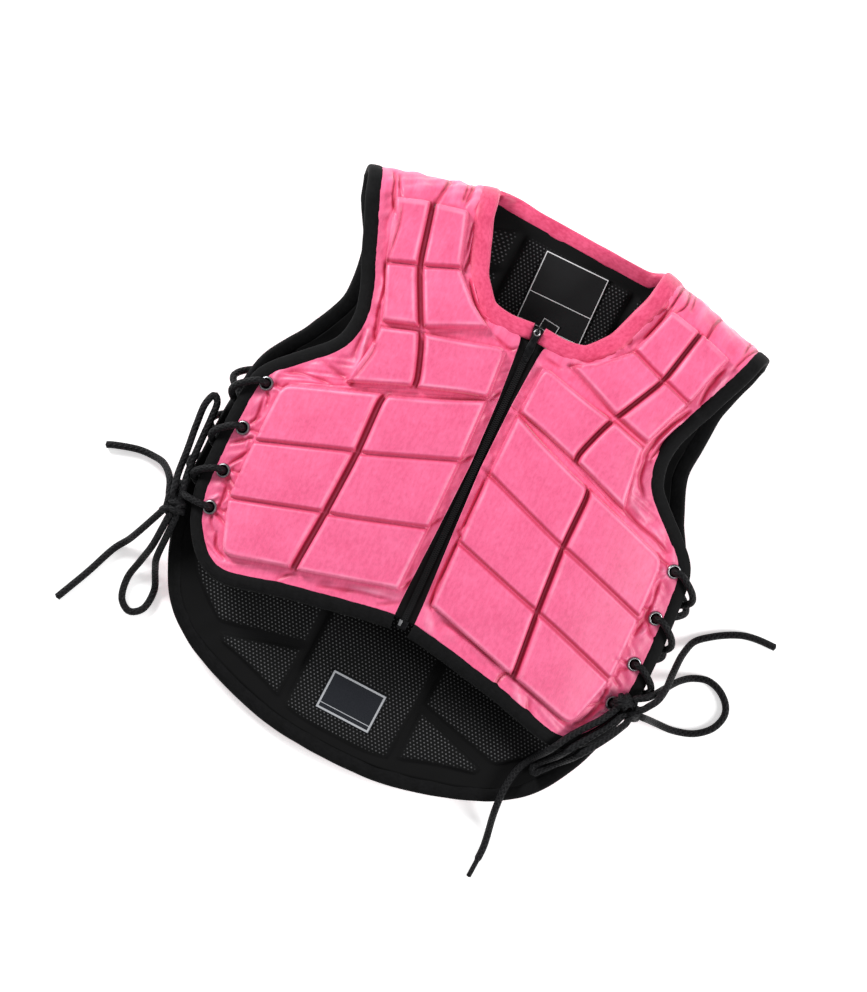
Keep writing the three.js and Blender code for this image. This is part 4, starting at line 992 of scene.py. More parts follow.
def black_cloth(name, pitch, shine, rough, strength):
    """Plain black cloth with its threads just showing."""
    cloth = Finish(name, rough[0], shine=shine)
    threads = cloth.group(WEAVE, cloth.flat_map(), Pitch=pitch)
    cloth.colour(cloth.colours(
        threads, [(0.2, (0.0015, 0.0015, 0.0016)), (0.9, (0.005, 0.005, 0.0055))]))
    cloth.rough(threads, *rough)
    cloth.bump(threads, strength, 0.0003)
    return cloth


black_backing = black_cloth("black_backing", 0.0012, 0.12, (0.8, 0.92), 0.3)

# %% [markdown]
# The photo's own creases: lines where the cloth between the tiles and the edges is pinched or
# stands up. Each is given by its height, its width and the points that it runs through, in
# millimetres right of the zip line and up from the frame's middle height.

# %% Creases
CREASES = {
    "left": [
        (-1.1, 1.5, (343, 352, 352, 372, 364, 388)), (-1.3, 1.5, (330, 352, 352, 402, 378, 440)),
        (-1.5, 1.5, (378, 410, 390, 455, 396, 500, 404, 542)), (0.8, 2.2, (366, 430, 384, 492)),
        (-1.6, 1.7, (398, 542, 418, 590, 428, 640, 442, 690)), (1.0, 2.4, (408, 560, 432, 650)),
        (-1.5, 1.6, (452, 292, 448, 340, 440, 388)), (-1.0, 1.5, (492, 296, 497, 350)),
        (-1.2, 1.5, (505, 298, 505, 352)), (-0.9, 1.6, (540, 296, 531, 350)),
        (0.7, 3.0, (518, 300, 520, 345)), (0.6, 3.0, (472, 300, 474, 348)),
        (-1.4, 1.4, (545, 350, 552, 402, 561, 440, 563, 482)), (-0.8, 1.3, (537, 380, 549, 440)),
        (-1.2, 1.4, (583, 498, 618, 540, 656, 568)), (0.8, 1.8, (592, 498, 626, 536, 660, 558)),
        (-1.5, 1.8, (438, 688, 458, 722, 450, 782, 440, 820)),
        (1.3, 2.6, (426, 700, 438, 760, 436, 800)), (-0.9, 2.0, (418, 700, 420, 760)),
        (-0.8, 2.0, (360, 800, 430, 815)), (-0.7, 1.6, (290, 860, 330, 845, 400, 838)),
        (-0.8, 1.4, (277, 928, 281, 992)), (-1.1, 1.4, (252, 1052, 292, 1020)),
        (-1.1, 1.4, (260, 1112, 284, 1072, 296, 1050)), (-1.2, 1.4, (274, 1140, 302, 1156)),
        (-1.5, 1.3, (284, 1150, 288, 1180, 282, 1205)), (1.0, 1.8, (256, 1200, 276, 1172)),
        (-1.2, 1.4, (306, 1250, 320, 1280, 346, 1294)), (0.9, 4.5, (640, 1232, 728, 1210)),
        (-0.8, 2.0, (700, 1244, 746, 1216)), (-0.9, 1.8, (498, 1258, 474, 1284)),
        (-1.1, 1.5, (737, 872, 756, 848)), (-1.0, 1.5, (734, 1028, 750, 1004)),
        (-1.0, 1.5, (736, 1184, 750, 1152)), (-0.9, 1.5, (738, 720, 752, 690)),
        (-0.8, 1.6, (560, 1262, 640, 1238, 720, 1222)), (-1.0, 1.4, (690, 590, 730, 600, 745, 590)),
    ],
    "right": [
        (-1.3, 1.4, (1027, 300, 1022, 342, 1012, 400, 996, 452)),
        (-1.1, 1.5, (1046, 308, 1046, 352, 1032, 372)), (-0.8, 1.6, (1061, 312, 1063, 352)),
        (-1.7, 1.6, (1134, 334, 1123, 372, 1120, 402)), (-0.9, 1.6, (1218, 360, 1212, 396)),
        (-0.9, 1.6, (1242, 368, 1216, 402, 1204, 432)), (0.7, 3.0, (1090, 330, 1088, 368)),
        (-1.4, 1.4, (1186, 440, 1172, 482, 1167, 532)), (0.7, 2.0, (1196, 450, 1182, 500)),
        (-1.5, 1.5, (1152, 558, 1130, 602, 1110, 652, 1104, 692)),
        (-1.1, 1.4, (1147, 600, 1126, 652, 1118, 694)), (0.9, 1.8, (1142, 584, 1116, 650)),
        (-1.3, 1.7, (1108, 700, 1114, 742, 1136, 772)), (1.0, 2.6, (1102, 745, 1112, 790)),
        (-1.2, 1.6, (1106, 815, 1150, 835, 1202, 850, 1240, 866)),
        (1.0, 2.4, (1120, 800, 1162, 816)), (0.8, 2.0, (1180, 830, 1214, 846)),
        (-1.0, 1.4, (868, 580, 906, 570, 950, 532, 986, 500)),
        (0.8, 1.8, (880, 568, 916, 556, 950, 520)), (-0.8, 1.4, (812, 586, 850, 592)),
        (-0.9, 1.3, (803, 890, 803, 1012)), (-1.1, 1.4, (805, 1040, 808, 1182, 816, 1202)),
        (-1.1, 1.5, (798, 1018, 816, 1036)), (-0.9, 1.5, (788, 868, 822, 882)),
        (1.1, 3.2, (810, 1212, 832, 1246)), (-0.8, 1.6, (850, 1215, 930, 1232, 1002, 1252)),
        (-1.7, 1.6, (1036, 1254, 1020, 1270, 1016, 1294)), (1.1, 3.2, (1056, 1276, 1076, 1312)),
        (-0.9, 2.4, (1092, 1290, 1112, 1326)), (-0.8, 1.5, (1040, 1264, 1120, 1286, 1200, 1312)),
        (-0.9, 1.4, (1252, 902, 1264, 880)), (-1.1, 1.4, (1252, 930, 1257, 1000, 1250, 1062)),
        (-1.1, 1.5, (1262, 1010, 1274, 1038, 1292, 1052)), (0.9, 1.8, (1258, 1062, 1274, 1032)),
        (-1.1, 1.4, (1248, 1170, 1268, 1182)), (-1.3, 1.4, (1214, 1302, 1238, 1288)),
        (-1.1, 1.4, (1246, 1192, 1242, 1250, 1226, 1290)), (0.7, 4.0, (1130, 1300, 1180, 1318)),
    ],
}


def on_pattern(side, across, up):
    """A place on the lying vest as a point of the front pattern."""
    x = side * np.asarray(across, float)
    y = np.asarray(up, float)
    low = ease(down_front(0.759), down_front(1.041), y)
    strap = ease(down_front(0.3844), down_front(0.0719), y)
    y = y + side * (4.5 * low + 4 * strap) * x / FRONT_WIDE
    centre, inner = fold_centre(x), FOLD_RADIUS - SHELL
    turned = centre + inner * np.arcsin(np.clip((y - centre) / inner, 0, 1))
    return np.stack([x, np.where(y > centre, turned, y)], -1)


def crease_heights(net, name, side, away_from_tiles):
    """The creases' own relief, softer where it runs on to a tile. Each eyelet pulls a few more."""
    points = net.reshape(-1, 2)
    total = np.zeros(len(points))
    for rise, wide, pairs in CREASES[name]:
        marks = np.array(pairs, float).reshape(-1, 2)
        line = on_pattern(side, (marks[:, 0] - 770) / 3, (901 - marks[:, 1]) / 3)
        if len(line) > 2:
            line = curve_through(line, 24)
        near = np.abs(points - line.mean(axis=0)).max(axis=1) < 60
        away = to_line(points[near], line)
        ends = np.minimum(np.linalg.norm(points[near] - line[0], axis=1),
                          np.linalg.norm(points[near] - line[-1], axis=1))
        fade = ease(-1, 4 * wide, ends) * 0.6 + 0.4
        total[near] += 2.2 * rise * fade * np.exp(-(away / (0.85 * wide)) ** 2)
    random = np.random.default_rng(40 + len(name))
    for centre in FRONT_HOLES:
        for turn in (-0.95, -0.35, 0.3, 0.9):
            turn = turn + random.uniform(-0.2, 0.2)
            way = np.array([-math.cos(turn), math.sin(turn)])
            sideways = np.array([-way[1], way[0]]) * random.uniform(-2.5, 2.5)
            start = np.array(centre) + way * 6.4
            end = np.array(centre) + way * random.uniform(13, 19)
            line = curve_through([start, (start + end) / 2 + sideways, end], 12)
            away = to_line(points, line)
            fade = 1 - ease(7, 19, np.linalg.norm(points - np.array(centre), axis=1))
            total += (random.choice([-2.4, -2.0, 1.5]) * (0.4 + 0.6 * fade)
                      * np.exp(-(away / random.uniform(1.1, 1.7)) ** 2))
    total = total.reshape(net.shape[:2])
    return total * (1 - 0.55 * ease(0, 3, away_from_tiles))

# %% [markdown]
# Now the two front halves. The same rows give both, but their channels, folds and ripples
# differ as they do on the real vest. The cloth between the tiles is loose, so it ripples, and it
# is pulled flat round each eyelet.

# %% Front panels
FRONT_BANDS = [("first", "second_low"), ("second_high", "third_low"), ("third_high", "chest_below"),
               ("chest_above", "neck_below"), ("neck_above", "strap_low"), ("strap_high", "shoulder")]
FRONT_BLOCKS = [("first", "chest_below", ("second", "third")), ("chest_above", "neck_below", ()),
                ("neck_above", "shoulder", ("strap",))]
ROUND_CORNERS = [("first", 4, 6.5), ("chest_below", 4, 4.5), ("neck_below", 1, 5.5),
                 ("chest_above", 1, 2.5), ("first", 1, 2.2)]


def front_panel_net(side):
    """One half's fine net, where its seams run in it, and its tiles."""
    names, lines = front_lines(CHANNEL[side])
    column_steps = steps_for(lines.transpose(1, 0, 2), 1.2, slice(0, 12))
    column_steps[2] = 4
    row_steps = steps_for(lines, 1.2, slice(1, 5))
    columns = np.concatenate([[0], np.cumsum(column_steps)])
    rows = dict(zip(names, np.concatenate([[0], np.cumsum(row_steps)])))
    net = fine_net(
        lines, column_steps, row_steps, [9 if name == "hem" else 4.5 for name in names],
        lambda i: 3.2 if i <= columns[1] else 6.5)
    tiles = [(rows[low], rows[high], columns[left], columns[right])
             for low, high in FRONT_BANDS for left, right in ((1, 2), (3, 4))]
    blocks = []
    for low, high, seams in FRONT_BLOCKS:
        for left, right in ((1, 2), (3, 4)):
            pairs = [(rows[f"{seam}_low"], rows[f"{seam}_high"]) for seam in seams]
            corners = [(rows[row], columns[column], reach) for row, column, reach in ROUND_CORNERS
                       if row in (low, high) and column in (left, right)]
            blocks.append((rows[low], rows[high], columns[left], columns[right], pairs, corners))
    return net, rows, columns, tiles, blocks


# How strongly the cross seams get painted shade beside the long channel, weaker on the left half.
CROSS_SEAM_SHADE = {-1: 0.62, 1: 0.85}  # how dark the cross seams are beside the long channel
front_nets = {}
for name, side in (("left", -1), ("right", 1)):
    net, rows, columns, tiles, blocks = front_panel_net(side)
    found, near = tile_map(net, tiles, blocks)
    on_tile = np.zeros(net.shape[:2])
    for index, points, away, along, seam in found:
        on_tile[index] = away
    heights = np.full(net.shape[:2], SHELL)
    raise_tiles(found, heights, 100 if side < 0 else 500)
    relief = crease_heights(net, name, side, on_tile)
    heights += relief
    x, y = net[..., 0], net[..., 1]
    from_edge = np.minimum(np.linalg.norm(net - net[:, -1:], axis=-1),
                           np.linalg.norm(net - net[:1], axis=-1))
    off_tile = ease(0.5, 4, near[0]) * (on_tile == 0) * (0.15 + 0.85 * ease(2, 9, from_edge))
    edge_run = lengths_along(net[:, -1])[:, None]
    rumple = waves(edge_run + 0.35 * x, (9.0, 14.0, 22.0), 5 + side) * 0.9
    rumple = rumple + 0.5 * soft_noise(x, y, 19, 31 + side)
    heights = np.maximum(heights + off_tile * rumple, 0.9)
    # Painted shade: deep red in the long channel and the cross seams between tiles, and a little at
    # each tile's foot.
    between = 1 - ease(4.0, 7.5, near.sum(axis=0))
    beside = 1 - ease(0.3, 2.0, near[0])
    in_channel = np.zeros(net.shape[1])
    in_channel[columns[2]:columns[3] + 1] = 1
    seam_shade = np.where(in_channel, 1.0, CROSS_SEAM_SHADE[side])
    painted_light_mask = between * beside * seam_shade + 0.2 * beside * (1 - between)
    # Painted highlight: a paler rim round each tile's top, stronger in patches.
    painted_glint = 0.30 + 0.16 * soft_noise(x, y, 26, 8 + side)
    painted_light_mask = painted_light_mask - painted_glint * painted_rim_highlight(found, net.shape[:2]) * (1 - between * beside)
    # Painted shade in each crease and painted highlight on each ridge.
    folds = relief + 0.6 * off_tile * rumple
    painted_light_mask += 0.75 * np.clip(-folds / 2.0, 0, 1) - 0.35 * np.clip(folds / 1.6, 0, 1)
    # pierced also paints each eyelet's hole black, as painted shade.
    pierced(net, heights, FRONT_HOLES, painted_light_mask)
    panel = cloth_piece(
        f"front_{name}", on_front(side), net, heights, 0.15, pink_satin, painted_light_mask, black_backing)
    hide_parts(f"panel_front_{name}")
    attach(panel, VEST)
    front_nets[name] = (net, rows)
print("front net", net.shape, "faces", len(panel.data.polygons))

# %% [markdown]
# The back is sewn in the same way, with one long pad up its middle. It is seen from inside, at
# the neck and at the tail, where its mesh lining covers the same pads.

# %% The back's pattern
BACK_ROWS = {
    "rim": [(0.254, 0.985), (0.281, 0.983), (0.601, 0.947), (0.725, 0.921)],
    "low": [(0.254, 0.971), (0.281, 0.954), (0.601, 0.915), (0.785, 0.904)],
    "tail_below": [(0.254, 0.855), (0.281, 0.861), (0.612, 0.900), (0.825, 0.890)],
    "tail_above": [(0.254, 0.848), (0.281, 0.851), (0.663, 0.889), (0.860, 0.872)],
    "hips": [(0.254, 0.788), (0.281, 0.789), (0.854, 0.830), (0.933, 0.816)],
    "first": [(0.254, 0.724), (0.281, 0.724), (0.893, 0.789), (0.975, 0.761)],
    "second": [(0.254, 0.607), (0.281, 0.609), (0.905, 0.684), (1.000, 0.672)],
    "third": [(0.254, 0.485), (0.281, 0.487), (0.905, 0.562), (1.000, 0.555)],
    "chest": [(0.254, 0.363), (0.281, 0.364), (0.894, 0.444), (0.974, 0.451)],
    "arm": [(0.254, 0.301), (0.281, 0.301), (0.756, 0.371), (0.842, 0.371)],
    "blade": [(0.254, 0.241), (0.281, 0.242), (0.676, 0.292), (0.756, 0.290)],
    "strap": [(0.254, 0.120), (0.281, 0.120), (0.711, 0.172), (0.785, 0.167)],
    "shoulder": [(0.254, 0.044), (0.281, 0.044), (0.779, 0.113), (0.854, 0.111)],
}
BACK_BANDS = [("low", "tail_below"), ("tail_above", "first_low"), ("first_high", "second_low"),
              ("second_high", "third_low"), ("third_high", "chest_low"),
              ("chest_high", "blade_low"), ("blade_high", "strap_low"), ("strap_high", "shoulder")]
NECK_Y = SHOULDER - 0.026 * BACK_LONG
BACK_SEAM = (math.pi - SEAM_TURN) * (FOLD_RADIUS - SHELL - FOAM + FOLD_RADIUS - SHELL) / 2


def both_halves(half, middle_y):
    """A line across the whole back, from the points of its right half."""
    mirrored = half[::-1] * np.array([-1, 1])
    return np.vstack([mirrored, [[0, middle_y]], half])


def back_lines():
    rows = {name: row_of(BACK_ROWS, name, BACK_WIDE, BACK_LONG) for name in BACK_ROWS}
    named = []

    def add(name, row, middle=None):
        inner = toward(row[1], row[2], 4.5)
        side = row[1] + (row[2] - row[1]) * 0.62
        half = np.array([row[0], row[1], inner, side, row[2], row[3]])
        named.append((name, both_halves(half, half[0][1] if middle is None else middle)))

    add("rim", rows["rim"], down_back(0.99))
    add("low", rows["low"], down_back(0.974))
    for name in ("tail_below", "tail_above", "hips"):
        add(name, rows[name])
    order = ["hips", "first", "second", "third", "chest", "arm", "blade", "strap", "shoulder"]
    for k, name in enumerate(order[1:-1], 1):
        if name == "arm":
            add(name, rows[name])
            continue
        for word, other in (("low", order[k - 1]), ("high", order[k + 1])):
            span = np.linalg.norm(rows[other][1:3] - rows[name][1:3], axis=1).max()
            add(f"{name}_{word}",
                rows[name] + (rows[other] - rows[name]) * (SEAM / 2 / span))
    add("shoulder", rows["shoulder"])
    column, tile_in = rows["shoulder"][0][0], rows["shoulder"][1][0]
    seam = []
    for out in (0.400, 0.803, 0.888):
        x = out * BACK_WIDE
        seam.append((x, float(fold_centre(x)) + BACK_SEAM - 0.45))
    half = np.array([(column, NECK_Y), (tile_in, NECK_Y), (tile_in + 4.5, NECK_Y), *seam])
    top = both_halves(half, NECK_Y)
    named.append(("halfway", (named[-1][1] + top) / 2))
    named.append(("top", top))
    return [name for name, line in named], np.array([line for name, line in named])


BACK_NAMES, BACK_LINES = back_lines()
BACK_COLUMN_STEPS = steps_for(BACK_LINES.transpose(1, 0, 2), 2.4, slice(2, 14))
BACK_ROW_STEPS = steps_for(BACK_LINES, 2.4, slice(1, -1))
back_columns = np.concatenate([[0], np.cumsum(BACK_COLUMN_STEPS)])
back_rows = dict(zip(BACK_NAMES, np.concatenate([[0], np.cumsum(BACK_ROW_STEPS)])))
back_net = fine_net(
    BACK_LINES, BACK_COLUMN_STEPS, BACK_ROW_STEPS,
    [14 if name in ("rim", "low") else 4 for name in BACK_NAMES], lambda i: 7.0)
BACK_TILES = [(back_rows[low], back_rows[high], back_columns[left], back_columns[right])
              for low, high in BACK_BANDS for left, right in ((1, 4), (8, 11))]
BACK_TILES.append((back_rows["low"], back_rows["shoulder"], back_columns[5], back_columns[7]))
back_found, back_near = tile_map(
    back_net, BACK_TILES, [(*tile, (), ()) for tile in BACK_TILES])
# Painted shade: deep red in the seams between the back's pads, and black in its eyelet holes.
back_seam_shade = (1 - ease(5.0, 9.0, back_near.sum(axis=0))) * (1 - ease(0.4, 3.0, back_near[0]))
heights = np.full(back_net.shape[:2], SHELL)
raise_tiles(back_found, heights, 900, border=5)
heights = np.minimum(heights, SHELL + FOAM - 0.2)
pierced(back_net, heights, [(side * x, y) for side in (-1, 1) for x, y in BACK_HOLES], back_seam_shade)
back_panel = cloth_piece(
    "back", on_back, back_net, heights, 0.15, pink_satin, back_seam_shade, black_backing)
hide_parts("panel_back")
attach(back_panel, VEST)
print("back net", back_net.shape)

# %% [markdown]
# The lining is an open black mesh over pads. Its little holes show as rows of pale dots, and only
# on the pads, where the mesh lies smooth. The channels and the border stay plain black.

# %% Mesh lining finish
lining = Finish("black_mesh", 0.8, sheen=0.0, shine=0.2)
flat = lining.flat_map()
split = lining.tree.nodes.new("ShaderNodeSeparateXYZ")
lining.link(flat, split.inputs[0])
PITCH = 0.0031
row_number = math_node(lining.tree, "DIVIDE", split.outputs[1], PITCH * 0.8)
row_whole = math_node(lining.tree, "FLOOR", row_number)
odd_row = math_node(lining.tree, "MULTIPLY", math_node(lining.tree, "MODULO", row_whole, 2), 0.5)
column_number = math_node(
    lining.tree, "ADD", math_node(lining.tree, "DIVIDE", split.outputs[0], PITCH), odd_row)
in_row = math_node(lining.tree, "SUBTRACT", math_node(lining.tree, "FRACT", row_number), 0.5)
in_column = math_node(lining.tree, "SUBTRACT", math_node(lining.tree, "FRACT", column_number), 0.5)
square = math_node(
    lining.tree, "ADD", math_node(lining.tree, "MULTIPLY", in_column, in_column),
    math_node(lining.tree, "MULTIPLY", math_node(lining.tree, "MULTIPLY", in_row, in_row), 0.75))
dot = lining.node("ShaderNodeMapRange", From_Min=0.06, From_Max=0.02, To_Min=0.0, To_Max=1.0)
lining.link(square, dot.inputs["Value"])
on_pad = lining.node("ShaderNodeMapRange", From_Min=1.5, From_Max=3.5, To_Min=0.0, To_Max=1.0)
lining.link(lining.attribute("painted_light_and_pad_inset"), on_pad.inputs["Value"])
shown = math_node(lining.tree, "MULTIPLY", dot.outputs[0], on_pad.outputs[0])
patches = lining.group(MOTTLE, flat, Patch=30.0, Streak=240.0)
strong = lining.node("ShaderNodeMapRange", From_Min=0.3, From_Max=0.7, To_Min=0.35, To_Max=1.0)
lining.link(patches, strong.inputs["Value"])
dots = math_node(lining.tree, "MULTIPLY", shown, strong.outputs[0])
lining.colour(lining.mixed(dots, (0.0016, 0.0016, 0.0018), (0.13, 0.13, 0.135)))
lining.rough(shown, 0.85, 0.6)
lining.bump(shown, 0.5, 0.0004)

# %% [markdown]
# The lining follows the back's own net on the inside, with the same pads turned inwards.

# %% Back lining
heights = np.zeros(back_net.shape[:2])
raise_tiles(back_found, heights, 1500, border=6)
lining_heights = -2.5 - heights / FOAM * 2.6
creased = soft_noise(back_net[..., 0], back_net[..., 1], 24, 77) * (1 - ease(0, 2, heights))
lining_heights -= 0.35 * creased
seams = np.zeros(back_net.shape[:2])
for index, points, away, along, seam in back_found:
    seams[index] = away
back_lining = cloth_piece(
    "lining_back_mesh", on_back, back_net, lining_heights, -0.25, lining, seams)
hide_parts("lining_back")
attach(back_lining, VEST)

# %% [markdown]
# Edgings are folded tapes. They follow the panels' edges as rounded strips, with small puckers
# where the stitching pulls them in.

# %% Edging finishes
def edging_finish(name, dark, light, roughness, sheen, shine=0.5, ribs=0.25, patch=120.0):
    tape = Finish(name, roughness, sheen=sheen, shine=shine)
    flat = tape.flat_map()
    weave = tape.group(WEAVE, flat, Pitch=0.0011)
    grain = tape.group(MOTTLE, flat, Patch=patch, Streak=900.0)
    tape.colour(tape.colours(grain, [(0.38, dark), (0.62, light)]))
    tape.rough(grain, roughness - 0.08, roughness + 0.1)
    first = tape.bump(weave, ribs, 0.0003)
    tape.bump(grain, 0.3, 0.0008, first)
    return tape


black_edging = edging_finish(
    "black_edging", (0.0018, 0.0018, 0.002), (0.005, 0.005, 0.0055), 0.7, 0.0, 0.12)
pink_edging = edging_finish(
    "pink_edging", linear(206, 56, 98), linear(232, 84, 126), 0.5, 0.2, ribs=0.04, patch=80.0)


def left_of(path):
    along = np.gradient(path, axis=0)
    along /= np.linalg.norm(along, axis=1)[:, None]
    return np.stack([-along[:, 1], along[:, 0]], 1)


def edging(name, place, path, wide, low, high, material, seed, inside=1.6, sides=16, pucker=0.06):
    """A rounded strip to the left of a path of pattern points, closed at both ends."""
    path = resample(np.asarray(path, float), int(lengths_along(np.asarray(path))[-1] / 1.7))
    run = lengths_along(path)
    away = left_of(path)
    wide = np.interp(run / run[-1], np.linspace(0, 1, np.size(wide)), np.atleast_1d(wide))
    ripple = waves(run, (5.3, 8.1, 12.7), seed)
    wander = waves(run, (23.0, 41.0), seed + 3)
    turns = np.linspace(0, 2 * math.pi, sides, endpoint=False)
    curve = lambda value, power: np.sign(value) * np.abs(value) ** power
    vertices, uv = [], []
    for angle in turns:
        half = (wide + 1 + inside) / 2
        out = half - inside + curve(math.cos(angle), 0.55) * half + 0.2 * wander
        rise = (high - low) / 2
        swell = 1 + pucker * ripple * (0.5 - 0.5 * math.cos(angle))
        n = (high + low) / 2 + curve(math.sin(angle), 0.72) * rise * swell
        vertices.append(place(path[:, 0] + away[:, 0] * out, path[:, 1] + away[:, 1] * out, n))
        uv.append(np.stack([np.full(len(run), angle * 5.7), run], 1) * MM)
    count = len(path)
    vertices = np.array(vertices).transpose(1, 0, 2).reshape(-1, 3)
    uv = np.array(uv).transpose(1, 0, 2).reshape(-1, 2)
    faces = []
    for k in range(count - 1):
        for s in range(sides):
            t = (s + 1) % sides
            faces.append((k * sides + s, k * sides + t, (k + 1) * sides + t, (k + 1) * sides + s))
    faces.append(tuple(range(sides))[::-1])
    faces.append(tuple((count - 1) * sides + s for s in range(sides)))
    piece = mesh_piece(name, vertices, faces, material, uv=uv)
    outward(piece)
    return piece


def dressed(piece, slot, *nodes):
    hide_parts(*nodes)
    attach(piece, VEST)
    return piece

# %% [markdown]
# One black strip runs down each front's laced side and along its hem, and a pink one runs round
# its neck.

# %% Front edgings
LOW, HIGH = -2.9, SHELL + 0.75
for name, side in (("left", -1), ("right", 1)):
    place = on_front(side)
    net, rows = front_nets[name]
    side_edge = net[:, -1][::-1]
    hem_edge = net[0][::-1]
    path = np.vstack([side_edge[:-1], hem_edge])
    path = smooth_at(path, 5.0, np.linspace(0, 1, 500))
    strip = edging(
        f"edging_front_{name}", place, path, [8.6, 10, 8.3, 8, 8, 9.6, 10], LOW, HIGH,
        black_edging, 40 + side)
    dressed(strip, "black_edging", f"binding_side_{name}", f"binding_hem_{name}")
    neck = np.vstack([[[3.0, 115.4]], net[rows["neck_corner"] + 4:, 0]])
    neck = smooth_at(neck, 5.0, np.linspace(0, 1, 240))
    strip = edging(
        f"neck_front_{name}", place, neck, [9.5, 11.5, 12, 12, 12], LOW, HIGH + 0.1, pink_edging,
        60 + side, inside=2.5, pucker=0.03)
    dressed(strip, "pink_edging", f"facing_front_{name}")

# %% [markdown]
# The back has one long black strip, down one side, round the tail and up the other, and a pink
# band across its neck.

# %% Back edgings
top_row, rim_row = back_net[-1], back_net[0]
round_path = np.vstack([back_net[:, -1][::-1], rim_row[::-1][1:], back_net[1:, 0]])
round_path = smooth_at(round_path, 6.0, np.linspace(0, 1, 900))
strip = edging(
    "edging_back", on_back, round_path,
    [10, 10, 10, 8, 8, 8, 8.5, 10, 10, 10, 8.5, 8, 8, 8, 10, 10, 10], LOW, HIGH, black_edging, 80)
dressed(strip, "black_edging", "binding_armhole_left", "binding_armhole_right", "binding_tail")
neck = top_row[back_columns[2]:back_columns[10] + 1]
neck = smooth_at(neck, 6.0, np.linspace(0, 1, 220))
strip = edging(
    "neck_back", on_back, neck, 10.5, LOW, HIGH, pink_edging, 90, inside=2.0, pucker=0.03)
dressed(strip, "pink_edging", "facing_back")
print("edgings made")

# %% [markdown]
# The front zip: two woven tapes, a row of small coil teeth on each, a slider with its pull, and
# the box that the zip ends in. One tooth is shaped and then copied down the line.


# %% Small shaped parts
def shaped(name, build):
    """Runs build in edit mode on a fresh primitive and gives its mesh, the object removed."""
    build()
    made = bpy.context.active_object
    made.name = name
    if made.mode == "EDIT":
        bpy.ops.object.mode_set(mode="OBJECT")
    bpy.ops.object.transform_apply(location=True, rotation=True, scale=True)
    return made


def as_arrays(source):
    vertices = np.array([tuple(v.co) for v in source.data.vertices])
    faces = [tuple(p.vertices) for p in source.data.polygons]
    return vertices, faces


def copies(name, source, places, material, smooth=True):
    """One piece made of copies of source, each at a 4 by 4 place."""
    vertices, faces = as_arrays(source)
    all_vertices, all_faces = [], []
    for k, matrix in enumerate(places):
        matrix = np.array(matrix)
        all_vertices.append(vertices @ matrix[:3, :3].T + matrix[:3, 3])
        all_faces += [tuple(v + k * len(vertices) for v in face) for face in faces]
    piece = mesh_piece(name, np.vstack(all_vertices), all_faces, material, smooth=smooth)
    bpy.data.objects.remove(source)
    return piece


def standing_at(place, x, y, n, turn=0.0):
    """The 4 by 4 place of a part that stands on the cloth: its Z along the cloth's normal."""
    origin = place(x, y, n)
    along = place(x, y + 0.5, n) - place(x, y - 0.5, n)
    up = place(x, y, n + 1) - place(x, y, n)
    along /= np.linalg.norm(along)
    up -= along * up.dot(along)
    up /= np.linalg.norm(up)
    right = np.cross(along, up)
    matrix = np.eye(4)
    matrix[:3, 0] = right * math.cos(turn) + along * math.sin(turn)
    matrix[:3, 1] = along * math.cos(turn) - right * math.sin(turn)
    matrix[:3, 2] = up
    matrix[:3, 3] = origin
    return matrix

# %% [markdown]
# The zip's tape is ribbed black cloth, its teeth are black plastic, and its slider, pull and box
# are painted metal with a brighter ring. A bright metal strip on the box is a painted highlight.
# Metals differ only in tone and roughness, so one function makes all of them.

# %% Zip finishes
zip_cloth = black_cloth("zip_tape", 0.0008, 0.2, (0.65, 0.8), 0.5)

plastic = Finish("zip_teeth", 0.4, shine=0.35)
speckle = plastic.group(MOTTLE, plastic.object_map(), Patch=400.0, Streak=1800.0)
plastic.colour(plastic.colours(
    speckle, [(0.3, (0.003, 0.003, 0.0035)), (0.7, (0.008, 0.008, 0.009))]))
plastic.rough(speckle, 0.3, 0.5)
plastic.bump(speckle, 0.15, 0.0002)


def metal_finish(name, dark, light, roughness):
    metal = Finish(name, roughness, metallic=1.0)
    wear = metal.group(MOTTLE, metal.object_map(), Patch=350.0, Streak=1600.0)
    metal.colour(metal.colours(wear, [(0.35, dark), (0.7, light)]))
    metal.rough(wear, roughness - 0.08, roughness + 0.14)
    metal.bump(wear, 0.12, 0.0002)
    return metal


dark_metal = metal_finish("dark_metal", (0.20, 0.20, 0.21), (0.42, 0.42, 0.43), 0.26)
# bright_metal serves the pull's ring and the zip box's painted highlight.
bright_metal = metal_finish("bright_metal", (0.30, 0.30, 0.31), (0.55, 0.55, 0.56), 0.3)
black_metal = metal_finish("black_metal", (0.012, 0.012, 0.013), (0.03, 0.03, 0.032), 0.38)

# %% [markdown]
# Each tape is a thin closed sheet beside the teeth. A tooth is a small block with bevelled
# edges. It is shaped once, and its copies stand on the cloth at even steps, with the two rows
# half a step apart.

# %% Zip tapes and teeth
ZIP_TOP = down_front(0.242)
ZIP_BOTTOM = down_front(0.997)
CHAIN_THICK = 2.8
on_middle = on_front(1)
for name, side in (("left", -1), ("right", 1)):
    y = np.linspace(ZIP_BOTTOM - 1, ZIP_TOP - 2, 150)
    x = np.linspace(0.5, 12, 10)
    net = np.stack(np.meshgrid(x, y), -1)
    heights = np.full(net.shape[:2], -0.3)
    heights[:, :2] = [-0.9, -0.6]
    wave = 0.25 * waves(y, (19.0, 31.0), 70 + side)
    heights[:, 3:8] += wave[:, None]
    strip = cloth_piece(f"zip_cloth_{name}", on_front(side), net, heights, -1.7, zip_cloth)
    dressed(strip, "zip_tape", f"zip_tape_{name}")


